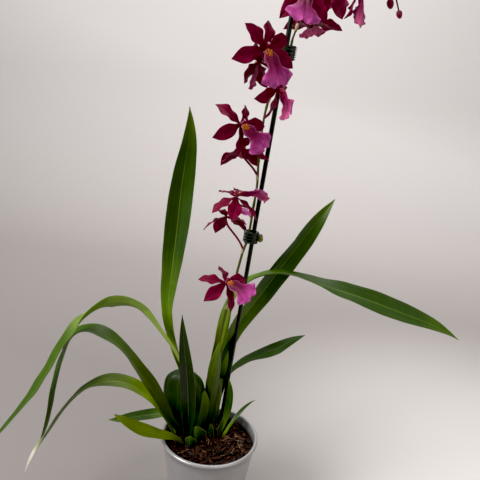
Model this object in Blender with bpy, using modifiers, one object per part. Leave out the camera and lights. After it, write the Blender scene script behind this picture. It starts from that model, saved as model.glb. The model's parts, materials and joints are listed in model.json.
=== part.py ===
"""Potted oncidium orchid, built in Blender: metres, +Z up, -Y towards the viewer.

The origin is the middle of the pot's foot. Sizes below are in millimetres and angles in degrees, and
MM turns them into metres where a mesh is made.
"""

import math
from dataclasses import dataclass

import bmesh
import bpy
import numpy as np
from mathutils import Matrix, Vector

MM = 0.001
GAP = 0.4

# Pot: the common 12 cm round pot, with a rolled rim and a foot ring
POT_HEIGHT = 105.0
RIM_DIAMETER = 120.0
RIM_ROLL = 2.3
BASE_DIAMETER = 86.0
POT_WALL = 1.5
FOOT_WIDTH = 3.5
FOOT_RECESS = 1.6
FLOOR_THICKNESS = 1.8
DRAIN_HOLES = 5
DRAIN_HOLE_DIAMETER = 8.0
DRAIN_RING_RADIUS = 26.0
POT_SIDES = 36

# Bark mix that fills the pot
SOIL_LEVEL = 93.0
SOIL_RELIEF = 1.6
CALM_RADIUS = 46.0
CLUMP_CENTRE = (-22.0, 26.0)
BARK_CHIPS = 11
BARK_SIDES = 30

# Pseudobulb and the new growth beside it, both rooted in the bark
ROOTED_TO = 82.0
BULB_FOOT = (-28.5, 21.0)
BULB_TOP = (-39.0, 17.5, 178.0)
BULB_HALF_WIDTH = 26.0
BULB_FLATNESS = 0.42
BULB_HOLE = (17.8, 8.1)
GROWTH_FOOT = (-3.0, 27.0)
GROWTH_CROWN = (0.5, 28.0)
GROWTH_TOP = 167.0
GROWTH_HALF_WIDTH = 9.6
GROWTH_HALF_DEPTH = 5.0
GROWTH_HOLE = (9.2, 5.2)

# Stake of 5 mm and the two claw clips that tie the flower spike to it
STAKE_DIAMETER = 5.0
STAKE_FOOT = (12.2, 46.7, 82.0)
STAKE_TOP = (45.0, -23.5, 617.0)
CLIP_HEIGHTS = (357.0, 554.0)
CLIP_TALL = 14.0
CLIP_WALL = 1.3
JAW_END = -8.9
JAW_HALF_WIDTH = 4.2
PIN_OFFSET = 4.5
PIN_DIAMETER = 1.5
KNUCKLE_DIAMETER = 3.6
TAB_RADIUS = 4.0
TAB_SPLAY = 36.0
CLIP_TEETH = 3

# Flower spike
SPIKE_FOOT_RADIUS = 1.6
SPIKE_TIP_RADIUS = 0.8
STALK_RADIUS = 0.75

# One bloom, about 6 cm across
SEPAL_TOP = 29.0
PETAL = 31.0
SEPAL_SIDE = 34.0
LIP_LENGTH = 36.0
LIP_HALF_WIDTH = 15.5
LIP_BEND = 46.0
HEART_RADIUS = 2.3

LEAF_THICKNESS = 0.8
PETAL_THICKNESS = 0.7


@dataclass(frozen=True)
class Leaf:
    """One leaf: rise, heading and roll are its angles at even steps from its base to its tip.

    Rise is above level, heading is the way it grows (0 is +X and 90 is +Y), and roll turns the blade
    about its midrib. Clasp is how far the base folds up round the midrib, over a part of the length.
    """

    name: str
    base: tuple
    length: float
    width: float
    rise: tuple
    heading: tuple
    roll: tuple
    widest: float = 0.5
    foot: float = 0.35
    clasp: float = 60.0
    clasped: float = 0.35
    fold: float = 12.0
    taper: float = 2.5
    steps: int = 14


@dataclass(frozen=True)
class Bloom:
    """One flower: its heart, the way it faces, and how each of its five outer parts stands.

    Order of the five: top sepal, left and right petal, left and right side sepal. Lift is how far
    each stands forward of the flower's own plane, and leans turn it within that plane. The lip has
    its own turn from straight down, its lift, its roll about its length and its size.
    """

    name: str
    heart: tuple
    heading: float
    nod: float
    spin: float
    stalk_at: float
    lift: tuple = (-4, -4, -4, -6, -6)
    leans: tuple = (0, 0, 0, 0, 0)
    lip: tuple = (0, 30, 0)
    lip_size: float = 1.0


LEAVES = (
    Leaf("leaf_tall", (-41, 21, 180), 317, 30, (66, 76, 94, 93, 92, 97, 83), (178, 181, 182),
         (-96, -118, -100, -75, -66), widest=0.62, clasp=48),
    Leaf("leaf_arch_high", (-39, 12, 179), 358, 23, (71, 53, 51, -16, -54, -65, -59, -53, -51),
         (185, 189, 199, 185, 183), (18, 20, 48, 62, -9, -15, -25, -15, -49), steps=18),
    Leaf("leaf_arch_middle", (-30, 8, SOIL_LEVEL + 1), 354, 26, (36, 64, 56, 55, 21, -72, -78, -80, -64),
         (186, 191, 176, 201, 219), (-62, -50, -28, 2, -3, 3, -11, -15, -22), widest=0.35, foot=0.47,
         steps=18),
    Leaf("leaf_arch_low", (-45, 10, SOIL_LEVEL + 1), 262, 22, (60, 52, 36, 1, -39, -58, -55, -74),
         (166, 191, 210, 202), (-47, -26, -19, 28, 21, -32), widest=0.4, steps=18),
    Leaf("leaf_short_front", (-35, -9, SOIL_LEVEL + 1), 101, 19, (48, 27, 27, 40, 43), (212, 206, 196),
         (-6, -19, -37), foot=0.6, steps=9),
    Leaf("leaf_short_back", (-36, 34, SOIL_LEVEL + 1), 103, 16, (78, -2, -8, -11, 2), (192, 189, 189),
         (-6, -22, -31), foot=0.6, steps=9),
    Leaf("leaf_spear", (-27, 0, SOIL_LEVEL + 0.8), 167, 21, (89, 85, 81, 84), (182, 182),
         (-89, -84, -92), widest=0.3, foot=0.72, fold=30, steps=9),
    Leaf("leaf_broad_right", (6, 32, 168), 267, 29, (92, 69, 54, 60, 59, 59, 59), (36, 22, 7, 3, -11),
         (79, 82, 87, 107, 80), widest=0.64, foot=0.5, clasp=48, clasped=0.2),
    Leaf("leaf_arch_right", (-5, 26, 168), 402, 28, (82, 80, 76, 23, -14, -9, -15, -15, -30),
         (13, 18, 2, -9, -9, -6, 1), (71, 71, 16, -7, -8, 27, 49, 39, 26), widest=0.72, foot=0.49, steps=18),
    Leaf("leaf_short_right", (3, 34.8, 121), 159, 17, (68, 62, 37, 27, 38, 34), (61, -2, -12),
         (47, -7, 14, 55, 32), widest=0.65, clasp=50, clasped=0.3, steps=12),
    Leaf("leaf_small_right", (14, 22, SOIL_LEVEL + 1), 77, 10, (77, 80, 89, 109), (0, -2), (74, 72),
         foot=0.57, clasp=50, clasped=0.3, fold=20, steps=7),
    Leaf("leaf_grass", (17, 11, SOIL_LEVEL + 1), 63, 5, (61, 53, 42, 12), (30, 30), (18, 24),
         widest=0.4, foot=0.78, clasp=40, clasped=0.3, fold=20, steps=7),
    Leaf("scale_sheath", (-16, -4, SOIL_LEVEL + 0.8), 19, 29, (72, 84, 96), (272, 268), (0, -8),
         widest=0.4, foot=0.8, clasp=42, clasped=0.9, fold=30, taper=1.8, steps=5),
    Leaf("scale_left", (-22.5, -14.5, SOIL_LEVEL + 0.8), 17, 18, (75, 95), (255, 250), (10, 0),
         widest=0.4, foot=0.8, clasp=40, clasped=0.9, fold=30, taper=1.8, steps=4),
    Leaf("shoot_left", (3, 8, SOIL_LEVEL + 1), 20, 7, (80, 84), (180, 180), (-80, -80), foot=0.6, steps=4),
    Leaf("shoot_right", (10, 13, SOIL_LEVEL + 1), 24, 6, (74, 78), (20, 20), (75, 75), foot=0.6, steps=4),
)

# Places that the spike passes, from the new growth up past the clips and over at the top
SPIKE_ROUTE = (
    (-5.6, 20.4, 148.0), (-5.6, 20.4, 168.0), (-2.3, 20.2, 195.0), (3.1, 20.0, 233.0), (7.0, 17.5, 268.0),
    (13.2, 14.0, 302.0), (19.0, 11.0, 337.0), (23.7, 9.8, 357.0), (26.0, 4.6, 393.0), (27.4, 1.2, 417.0),
    (26.2, -2.0, 446.0), (26.6, -6.0, 480.0), (30.0, -6.0, 507.0), (38.5, -6.6, 527.0), (44.6, -10.4, 541.0),
    (45.7, -15.0, 554.0), (46.6, -17.6, 566.0), (49.5, -19.3, 578.0),
    (52.5, -22.0, 598.0), (60.0, -25.0, 617.0), (74.0, -26.0, 631.0), (93.0, -26.0, 637.0),
    (112.0, -26.0, 634.0), (128.0, -26.0, 624.0), (139.0, -26.0, 610.0),
)

BLOOMS = (
    Bloom("bloom_01", (3, -11, 307), -28, 44, -34, 0.28, (-12, -35, 15, -31, -24), (-4, 12, -12, 1, -18),
          (38, 24, 35)),
    Bloom("bloom_02", (6, -14, 405), -44, 73, 5, 0.42, (-13, -40, -3, -26, -30), (-9, 10, 0, 0, -16),
          (22, 17, -40)),
    Bloom("bloom_03", (-3, 10, 378), 79, 62, -12, 0.337, (-3, -17, -41, -11, -22), (0, 17, 5, 21, -7),
          (-32, 19, 32), 0.95),
    Bloom("bloom_04", (3, -33, 481), -32, 12, -29, 0.575, (-6, -27, 24, -24, -15), (-17, 12, -8, 9, -16),
          (56, 26, 26)),
    Bloom("bloom_05", (8, -7, 454), 101, 53, -4, 0.49, (-4, -27, -38, -5, -3), (0, 20, -13, 8, -11),
          (-18, 6, 18), 0.95),
    Bloom("bloom_06", (36, -28, 519), -24, -9, -41, 0.632, (-5, -3, -3, -13, -11), (-38, 0, 0, 25, 3),
          (11, 34, -35), 0.95),
    Bloom("bloom_07", (20, -46, 552), -55, 4, -2, 0.648, (-13, 5, -3, -17, 11), (-13, -1, -1, -18, 19),
          (19, 12, 9), 1.08),
    Bloom("bloom_08", (17, -10, 543), 150, 15, 0, 0.66, lip=(-50, 5, 0)),
    Bloom("bloom_09", (51, -40, 604), -85, 8, -2, 0.76, (-3, -3, -3, 8, -4), (0, 0, 0, 10, -1),
          (-5, 23, -7), 1.08),
    Bloom("bloom_10", (67, 9, 586), 80, 56, -4, 0.768, (-28, -36, -38, 12, 10), (0, -14, 13, -16, 20),
          (1, 12, -13), 0.95),
    Bloom("bloom_11", (80, -14, 620), 75, 15, 0, 0.87, (-4, 14, -4, -12, 5), (0, 0, 0, 25, -25), (0, 40, 0)),
    Bloom("bloom_12", (99, -34, 614), -12, -15, 19, 0.9, (-3, -3, -3, 4, -3), (0, 0, 0, 3, 0), (13, 14, -32)),
    Bloom("bloom_13", (86, -40, 661), -100, 20, 0, 0.885),
)
BUDS = ((0.945, (132, -32, 626), 11.0), (0.97, (136, -20, 606), 9.5), (1.0, (144, -28, 596), 8.0))

LEAF_COLOURS = {
    "leaf_short_front": "#7C8F14", "leaf_short_back": "#6C8A16", "leaf_spear": "#1C300C",
    "scale_sheath": "#26400E", "scale_left": "#1F360C", "leaf_arch_high": "#4A7A1C",
}


def clear_scene():
    """Removes the objects that the scene opened with."""
    for old in list(bpy.data.objects):
        bpy.data.objects.remove(old, do_unlink=True)


def make_collection(name):
    """A new collection in the scene."""
    made = bpy.data.collections.new(name)
    bpy.context.scene.collection.children.link(made)
    return made


def make_material(name, colour, roughness, metallic=0.0):
    """A Principled material of one sRGB hex colour."""
    made = bpy.data.materials.get(name)
    if made:
        return made
    made = bpy.data.materials.new(name)
    made.use_nodes = True
    shader = made.node_tree.nodes["Principled BSDF"]
    srgb = [int(colour[place : place + 2], 16) / 255 for place in (1, 3, 5)]
    linear = [c / 12.92 if c <= 0.04045 else ((c + 0.055) / 1.055) ** 2.4 for c in srgb]
    shader.inputs["Base Color"].default_value = (*linear, 1)
    shader.inputs["Roughness"].default_value = roughness
    shader.inputs["Metallic"].default_value = metallic
    return made


def add_object(name, mesh, place, material=None):
    """Puts a mesh or a curve in a collection as a named object."""
    made = bpy.data.objects.new(name, mesh)
    place.objects.link(made)
    if material:
        mesh.materials.append(material)
    return made


def mesh_from(bm, name):
    """Turns a bmesh into a mesh and frees it."""
    mesh = bpy.data.meshes.new(name)
    bm.to_mesh(mesh)
    bm.free()
    return mesh


def as_mesh(thing):
    """Replaces an object by its evaluated mesh, with its place and modifiers applied and welded."""
    bpy.context.view_layer.update()
    graph = bpy.context.evaluated_depsgraph_get()
    mesh = bpy.data.meshes.new_from_object(thing.evaluated_get(graph))
    mesh.transform(thing.matrix_world)
    bm = bmesh.new()
    bm.from_mesh(mesh)
    bmesh.ops.remove_doubles(bm, verts=bm.verts, dist=0.002 * MM)
    bmesh.ops.recalc_face_normals(bm, faces=bm.faces)
    bm.to_mesh(mesh)
    bm.free()
    name, places = thing.name, list(thing.users_collection)
    bpy.data.objects.remove(thing, do_unlink=True)
    return add_object(name, mesh, places[0])


def boolean(target, tools, operation, place):
    """Joins or cuts the tools into the target, applies it and removes the tools."""
    group = make_collection(target.name + "_tools")
    for tool in tools:
        for held in list(tool.users_collection):
            held.objects.unlink(tool)
        group.objects.link(tool)
    modifier = target.modifiers.new(operation.title(), "BOOLEAN")
    modifier.operation = operation
    modifier.operand_type = "COLLECTION"
    modifier.collection = group
    modifier.solver = "EXACT"
    done = as_mesh(target)
    for tool in list(group.objects):
        bpy.data.objects.remove(tool, do_unlink=True)
    bpy.data.collections.remove(group)
    if done.name not in place.objects:
        place.objects.link(done)
    return done


def finish(thing, material, sharp=40.0):
    """Gives a finished piece its material and shades it smooth between its sharp edges."""
    thing.data.materials.clear()
    thing.data.materials.append(material)
    thing.data.shade_smooth()
    thing.data.set_sharp_from_angle(angle=math.radians(sharp))
    return thing


def turned(name, profile, sides, place):
    """A profile of (radius, height) points turned about +Z with a Screw."""
    bm = bmesh.new()
    points = [bm.verts.new((radius * MM, 0, height * MM)) for radius, height in profile]
    for first, second in zip(points, points[1:]):
        bm.edges.new((first, second))
    thing = add_object(name, mesh_from(bm, name), place)
    screw = thing.modifiers.new("Turn", "SCREW")
    screw.steps = sides
    screw.render_steps = sides
    screw.use_merge_vertices = True
    screw.merge_threshold = 0.0001
    return as_mesh(thing)


def cylinder(name, radius, low, high, place, sides=16):
    """A capped cylinder between two points, as a primitive turned onto their line."""
    axis = Vector(high) - Vector(low)
    bm = bmesh.new()
    bmesh.ops.create_cone(
        bm, cap_ends=True, segments=sides, radius1=radius * MM, radius2=radius * MM, depth=axis.length * MM
    )
    thing = add_object(name, mesh_from(bm, name), place)
    thing.rotation_mode = "QUATERNION"
    thing.rotation_quaternion = axis.to_track_quat("Z", "Y")
    thing.location = (Vector(low) + Vector(high)) / 2 * MM
    return thing


def ball(name, centre, radii, place, sides=8, rings=5):
    """An ellipsoid from a UV sphere."""
    bm = bmesh.new()
    bmesh.ops.create_uvsphere(bm, u_segments=sides, v_segments=rings, radius=MM)
    bmesh.ops.scale(bm, vec=radii, verts=bm.verts)
    bmesh.ops.translate(bm, vec=Vector(centre) * MM, verts=bm.verts)
    return add_object(name, mesh_from(bm, name), place)


def tube(name, points, radii, place, resolution=1):
    """A round tube along a POLY spline, with a radius for each point, as a closed mesh."""
    curve = bpy.data.curves.new(name, "CURVE")
    curve.dimensions = "3D"
    curve.bevel_depth = MM
    curve.bevel_resolution = resolution
    curve.use_fill_caps = True
    spline = curve.splines.new("POLY")
    spline.points.add(len(points) - 1)
    for knot, point, radius in zip(spline.points, points, radii):
        knot.co = (*(np.asarray(point, float) * MM), 1)
        knot.radius = radius
    return as_mesh(add_object(name, curve, place))


def smooth_through(points, each):
    """Points along a smooth curve that passes through the given ones (Catmull-Rom)."""
    route = np.array(points, float)
    ends = np.vstack([2 * route[0] - route[1], route, 2 * route[-1] - route[-2]])
    found = []
    for before, here, there, after in zip(ends, ends[1:], ends[2:], ends[3:]):
        for step in np.arange(each) / each:
            found.append(
                0.5 * (2 * here + (there - before) * step
                       + (2 * before - 5 * here + 4 * there - after) * step**2
                       + (3 * here - before - 3 * there + after) * step**3)
            )
    found.append(route[-1])
    return np.array(found)


def at_fraction(route, fraction):
    """The point a given fraction of the way along a route."""
    reached = np.concatenate([[0], np.cumsum(np.linalg.norm(np.diff(route, axis=0), axis=1))])
    return np.array([np.interp(fraction * reached[-1], reached, route[:, side]) for side in range(3)])


def blade(name, surface, steps, across, thickness, place):
    """A grid moved by surface(along, across), triangulated and given a thickness.

    Along runs from 0 to 1 and across from -1 to 1.
    """
    bm = bmesh.new()
    bmesh.ops.create_grid(bm, x_segments=steps, y_segments=across, size=1)
    flat = np.array([vertex.co for vertex in bm.verts])
    moved = surface((flat[:, 0] + 1) / 2, flat[:, 1]) * MM
    for vertex, point in zip(bm.verts, moved):
        vertex.co = point
    bmesh.ops.triangulate(bm, faces=bm.faces)
    thing = add_object(name, mesh_from(bm, name), place)
    solid = thing.modifiers.new("Thickness", "SOLIDIFY")
    solid.thickness = thickness * MM
    solid.offset = 0
    return as_mesh(thing)


def knots_at(knots, along):
    """Values between evenly spaced knots."""
    return np.interp(along, np.linspace(0, 1, len(knots)), knots)


def leaf_axes(leaf, along):
    """Forward, side and upper-face directions along a leaf, from its rise, heading and roll."""
    rise, heading, roll = (
        np.radians(knots_at(knots, along)) for knots in (leaf.rise, leaf.heading, leaf.roll)
    )
    level = np.zeros_like(rise)
    forward = np.stack(
        [np.cos(rise) * np.cos(heading), np.cos(rise) * np.sin(heading), np.sin(rise)], axis=1
    )
    side = np.stack([-np.sin(heading), np.cos(heading), level], axis=1)
    face = np.cross(forward, side)
    turn_cos, turn_sin = np.cos(roll)[:, None], np.sin(roll)[:, None]
    return forward, turn_cos * side + turn_sin * face, turn_cos * face - turn_sin * side


def leaf_half_width(leaf, along):
    """Half width: a sine rise from the foot to the widest place, then a power taper to the tip."""
    growing = leaf.foot + (1 - leaf.foot) * np.sin(np.pi / 2 * np.clip(along / leaf.widest, 0, 1)) ** 2
    shrinking = 1 - np.clip((along - leaf.widest) / (1 - leaf.widest), 0, 1) ** leaf.taper
    return np.maximum(np.where(along < leaf.widest, growing, shrinking), 0.04) * leaf.width / 2


def leaf_surface(leaf):
    """The surface of a leaf: its midrib is the sum of small steps forward, and its sides fold up."""
    fine = 60
    middles = (np.arange(fine) + 0.5) / fine
    steps = leaf_axes(leaf, middles)[0] * leaf.length / fine
    midrib = np.array(leaf.base, float) + np.vstack([np.zeros(3), np.cumsum(steps, axis=0)])

    def surface(along, across):
        centre = np.stack(
            [np.interp(along, np.linspace(0, 1, fine + 1), midrib[:, axis]) for axis in range(3)], axis=1
        )
        _, side, face = leaf_axes(leaf, along)
        closing = np.clip(1 - along / leaf.clasped, 0, 1) ** 1.5
        fold = np.radians(leaf.fold + (leaf.clasp - leaf.fold) * closing)
        half = leaf_half_width(leaf, along)
        out = across * half * np.cos(fold)
        up = np.abs(across) * half * np.sin(fold)
        return centre + side * out[:, None] + face * up[:, None]

    return surface


def make_leaves(place):
    """Every leaf, scale and shoot as its own node."""
    for leaf in LEAVES:
        colour = LEAF_COLOURS.get(leaf.name, "#33560F")
        thing = blade(leaf.name, leaf_surface(leaf), leaf.steps, 2, LEAF_THICKNESS, place)
        finish(thing, make_material("leaf " + colour, colour, 0.42), 60)


def wall_radius(height):
    """Outer radius of the pot's straight wall at a height."""
    low, high = BASE_DIAMETER / 2, RIM_DIAMETER / 2 - RIM_ROLL
    return low + (high - low) * height / POT_HEIGHT


def make_pot(place):
    """The pot: a turned wall with a rolled rim, a foot ring and drain holes."""
    roll_radius = RIM_DIAMETER / 2 - RIM_ROLL
    roll_height = POT_HEIGHT - RIM_ROLL
    floor = FOOT_RECESS + FLOOR_THICKNESS
    foot_radius = BASE_DIAMETER / 2 - 1
    roll = [
        (roll_radius + RIM_ROLL * math.cos(turn), roll_height + RIM_ROLL * math.sin(turn))
        for turn in map(math.radians, (165, 120, 80, 40, 0, -50))
    ]
    inner_top = roll_height - RIM_ROLL
    profile = [(0, floor), (wall_radius(floor) - POT_WALL, floor)]
    profile += [(wall_radius(inner_top) - POT_WALL, inner_top), *roll]
    profile += [(wall_radius(inner_top - 1), inner_top - 1), (wall_radius(2), 2), (foot_radius, 0)]
    profile += [(foot_radius - FOOT_WIDTH, 0), (foot_radius - FOOT_WIDTH - 0.6, FOOT_RECESS), (0, FOOT_RECESS)]
    pot = turned("pot", profile, POT_SIDES, place)
    holes = []
    for number in range(DRAIN_HOLES):
        turn = 2 * math.pi * number / DRAIN_HOLES
        x, y = DRAIN_RING_RADIUS * math.cos(turn), DRAIN_RING_RADIUS * math.sin(turn)
        holes.append(cylinder("drain", DRAIN_HOLE_DIAMETER / 2, (x, y, -5), (x, y, floor + 5), place, 10))
    pot = boolean(pot, holes, "DIFFERENCE", place)
    finish(pot, make_material("silver moulded plastic", "#B9B8BC", 0.32, 0.35))


def bark_relief(x, y):
    """Height of the bark's bumps: three crossed waves, calm round the clump of stems."""
    waves = np.sin(0.43 * x + 0.9) * np.cos(0.37 * y) + 0.6 * np.sin(0.71 * y - 0.3 * x)
    waves += 0.5 * np.cos(0.93 * x + 0.55 * y)
    away = np.hypot(x - CLUMP_CENTRE[0], y - CLUMP_CENTRE[1])
    return SOIL_RELIEF * waves * 0.5 * np.clip((away - CALM_RADIUS) / 10, 0, 1)


def stretched(thing, half_x, half_y, centre):
    """Stretches a turned shape of 1 mm radius to two half axes and moves it, in place."""
    thing.data.transform(Matrix.Translation(Vector(centre) * MM) @ Matrix.Diagonal((half_x, half_y, 1, 1)))
    return thing


def stem_hole(name, half_x, half_y, centre, place):
    """A plain oval hole in the bark, just wider than the stem that stands in it."""
    bottom = ROOTED_TO - GAP
    profile = [(0, SOIL_LEVEL + 15), (1, SOIL_LEVEL + 15), (1, bottom), (0, bottom)]
    return stretched(turned(name, profile, 20, place), half_x, half_y, (*centre, 0))


def make_bark_mix(place):
    """The bark mix: a turned plug in the pot with a bumpy top, loose chips and holes for the stems."""
    low = FOOT_RECESS + FLOOR_THICKNESS + GAP
    reach = wall_radius(SOIL_LEVEL) - POT_WALL - 2 * GAP
    rings = 6
    profile = [(reach * ring / rings, SOIL_LEVEL) for ring in range(rings + 1)]
    profile += [(wall_radius(low) - POT_WALL - 2 * GAP, low), (0, low)]
    bark = turned("bark_mix", profile, BARK_SIDES, place)
    points = np.array([vertex.co for vertex in bark.data.vertices]) / MM
    inside = (points[:, 2] > SOIL_LEVEL - 1) & (np.hypot(points[:, 0], points[:, 1]) < reach - 1)
    points[inside, 2] += bark_relief(points[inside, 0], points[inside, 1])
    bark.data.vertices.foreach_set("co", (points * MM).ravel())

    draw = np.random.default_rng(12)
    chips = []
    for number in range(BARK_CHIPS):
        turn = math.radians(-150 + 180 * number / BARK_CHIPS + draw.uniform(-4, 4))
        radius = draw.uniform(33, 46)
        size = (draw.uniform(7, 12), draw.uniform(3, 5), draw.uniform(3, 4))
        bm = bmesh.new()
        bmesh.ops.create_cube(bm, size=MM)
        bmesh.ops.scale(bm, vec=size, verts=bm.verts)
        chip = add_object(f"chip_{number}", mesh_from(bm, "chip"), place)
        chip.rotation_euler = (draw.uniform(-0.3, 0.3), draw.uniform(-0.3, 0.3), draw.uniform(0, 3.1))
        chip.location = Vector((radius * math.cos(turn), radius * math.sin(turn), SOIL_LEVEL + 0.4)) * MM
        chips.append(as_mesh(chip))
    bark = boolean(bark, chips, "UNION", place)

    toward = Vector(STAKE_TOP) - Vector(STAKE_FOOT)
    start = Vector(STAKE_FOOT) - toward.normalized() * GAP
    end = start + toward * 0.3
    holes = [
        stem_hole("bulb_hole", *BULB_HOLE, BULB_FOOT, place),
        stem_hole("growth_hole", *GROWTH_HOLE, GROWTH_FOOT, place),
        as_mesh(cylinder("stake_hole", STAKE_DIAMETER / 2 + GAP, start, end, place, 12)),
    ]
    bark = boolean(bark, holes, "DIFFERENCE", place)
    finish(bark, make_material("bark mix", "#3A2016", 0.95))


def make_bulb(place):
    """The pseudobulb: a turned ovate shape, flattened, ribbed and leaning, with a small flat crown."""
    top = BULB_TOP[2]
    shape = ((0, 0), (0.34, 0), (0.62, 4), (0.84, 11), (0.97, 25), (1, 42), (0.9, 58), (0.7, 73), (0.6, 84))
    profile = [(share * BULB_HALF_WIDTH, top - down) for share, down in shape]
    profile += [(0.54 * BULB_HALF_WIDTH, ROOTED_TO), (0, ROOTED_TO)]
    bulb = turned("pseudobulb", profile, 24, place)
    points = np.array([vertex.co for vertex in bulb.data.vertices]) / MM
    climb = (points[:, 2] - ROOTED_TO) / (top - ROOTED_TO)
    ribs = 1 + 0.03 * np.cos(8 * np.arctan2(points[:, 1], points[:, 0]))
    foot, crown = np.array(BULB_FOOT), np.array(BULB_TOP[:2])
    points[:, 0] *= ribs
    points[:, 1] *= ribs * (BULB_FLATNESS + 0.2 * climb**3)
    points[:, :2] += foot + (crown - foot) * climb[:, None]
    bulb.data.vertices.foreach_set("co", (points * MM).ravel())
    finish(bulb, make_material("pseudobulb green", "#1A2C0C", 0.4))


def make_growth(place):
    """The young growth: an oval stem of tight sheaths, ribbed, that the two right-hand leaves crown."""
    shape = ((0, 0), (0.82, 0), (0.97, 3), (1, 12), (0.95, 34), (0.87, 60))
    profile = [(share, GROWTH_TOP - down) for share, down in shape]
    profile += [(0.85, ROOTED_TO), (0, ROOTED_TO)]
    stem = turned("growth_stem", profile, 18, place)
    points = np.array([vertex.co for vertex in stem.data.vertices]) / MM
    climb = (points[:, 2] - ROOTED_TO) / (GROWTH_TOP - ROOTED_TO)
    ribs = 1 + 0.03 * np.cos(6 * np.arctan2(points[:, 1], points[:, 0]))
    foot, crown = np.array(GROWTH_FOOT), np.array(GROWTH_CROWN)
    points[:, 0] *= GROWTH_HALF_WIDTH * ribs
    points[:, 1] *= GROWTH_HALF_DEPTH * ribs
    points[:, :2] += foot + (crown - foot) * climb[:, None]
    stem.data.vertices.foreach_set("co", (points * MM).ravel())
    finish(stem, make_material("growth olive", "#3A4A0E", 0.45))


def make_stake(place):
    """The straight round stake, with a short point that is pushed into the bark."""
    low, high = np.array(STAKE_FOOT), np.array(STAKE_TOP)
    radius = STAKE_DIAMETER / 2
    along = np.array([0, 0.012, 0.996, 1])[:, None]
    radii = (radius * 0.4, radius, radius, radius * 0.8)
    stake = tube("stake", low + (high - low) * along, radii, place, resolution=2)
    finish(stake, make_material("stake plastic", "#12180F", 0.5))


def stake_at(height):
    """The stake's axis at a height."""
    low, high = np.array(STAKE_FOOT), np.array(STAKE_TOP)
    return low + (high - low) * (height - low[2]) / (high[2] - low[2])


def clip_frame(height, tabs):
    """A clip's place: its X points to the thumb tabs, its Z up the stake, its origin on the stake."""
    up = Vector(stake_at(STAKE_TOP[2]) - stake_at(STAKE_FOOT[2])).normalized()
    outward = Vector((tabs, 0, 0))
    outward = (outward - up * outward.dot(up)).normalized()
    frame = Matrix((outward, up.cross(outward), up)).transposed().to_4x4()
    frame.translation = Vector(stake_at(height)) * MM
    return frame


def strip(name, middle, wall, low, high, place):
    """A wall of even thickness that follows a line of (X, Y) points, as a filled 2D outline extruded."""
    line = np.array(middle, float)
    ahead = np.gradient(line, axis=0)
    ahead /= np.linalg.norm(ahead, axis=1)[:, None]
    beside = np.stack([-ahead[:, 1], ahead[:, 0]], axis=1) * wall / 2
    outline = np.vstack([line + beside, (line - beside)[::-1]])
    curve = bpy.data.curves.new(name, "CURVE")
    curve.dimensions = "2D"
    curve.fill_mode = "BOTH"
    curve.extrude = (high - low) / 2 * MM
    spline = curve.splines.new("POLY")
    spline.points.add(len(outline) - 1)
    for knot, (x, y) in zip(spline.points, outline):
        knot.co = (x * MM, y * MM, 0, 1)
    spline.use_cyclic_u = True
    thing = add_object(name, curve, place)
    thing.location.z = (low + high) / 2 * MM
    return as_mesh(thing)


def jaw_pieces(side, first_tooth, place):
    """The curved jaw, its teeth and its round thumb tab, on the +Y (1) or -Y (-1) side of the stake."""
    pin_x = PIN_OFFSET
    end_x = JAW_END
    half = CLIP_TALL / 2
    line = [(pin_x, 0.9), (2.9, 3.1), (0.3, JAW_HALF_WIDTH), (-4.4, JAW_HALF_WIDTH), (-7, 3.5), (end_x, 2.4)]
    line = [(x, y * side) for x, y in (line if side > 0 else line[::-1])]
    pieces = [strip("jaw", line, CLIP_WALL, -half, half, place)]
    pitch = CLIP_TALL / CLIP_TEETH
    for number in range(CLIP_TEETH):
        low = -half + first_tooth + number * pitch
        tooth = [(end_x, -1.4 * side), (end_x, 2.6 * side)]
        if side > 0:
            tooth.reverse()
        pieces.append(strip("tooth", tooth, CLIP_WALL, low, low + pitch / 2 - 2 * GAP, place))
    splay = math.radians(TAB_SPLAY) * side
    direction = Vector((math.cos(splay), math.sin(splay), 0))
    normal = Vector((-math.sin(splay), math.cos(splay), 0))
    middle = Vector((pin_x, 0, 0)) + direction * (TAB_RADIUS + 0.2)
    edge = normal * CLIP_WALL / 2
    pieces.append(as_mesh(cylinder("tab", TAB_RADIUS, middle - edge, middle + edge, place, 12)))
    return pieces


def make_clip(number, height, tabs, place):
    """One claw clip: a fixed jaw with the hinge pin, and the moving jaw that turns on it."""
    half, bearing = CLIP_TALL / 2, CLIP_TALL / 2 - 4.6
    knuckle, pin = KNUCKLE_DIAMETER / 2, PIN_DIAMETER / 2
    material = make_material("clip plastic", "#2E3A2A", 0.25)

    def post(name, radius, low, high, sides=10):
        return as_mesh(cylinder(name, radius, (PIN_OFFSET, 0, low), (PIN_OFFSET, 0, high), place, sides))

    pieces = jaw_pieces(1, 0.4, place)
    pieces += [post("upper", knuckle, bearing, half), post("lower", knuckle, -half, -bearing)]
    fixed = boolean(pieces[0], pieces[1:], "UNION", place)
    fixed = boolean(fixed, [post("room", knuckle + GAP, -bearing, bearing)], "DIFFERENCE", place)
    fixed = boolean(fixed, [post("pin", pin, -half, half, 8)], "UNION", place)
    fixed.name = f"clip_{number}_fixed_jaw"

    pieces = jaw_pieces(-1, 0.4 + CLIP_TALL / CLIP_TEETH / 2, place)
    pieces.append(post("middle", knuckle, -bearing + GAP, bearing - GAP))
    moving = boolean(pieces[0], pieces[1:], "UNION", place)
    rooms = [
        post("room_up", knuckle + GAP, bearing - GAP, half + 1),
        post("room_down", knuckle + GAP, -half - 1, -bearing + GAP),
        post("bore", pin + GAP, -half, half, 8),
    ]
    moving = boolean(moving, rooms, "DIFFERENCE", place)
    moving.name = f"clip_{number}_moving_jaw"
    for jaw in (fixed, moving):
        jaw.data.transform(clip_frame(height, tabs))
        finish(jaw, material, 30)


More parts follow.
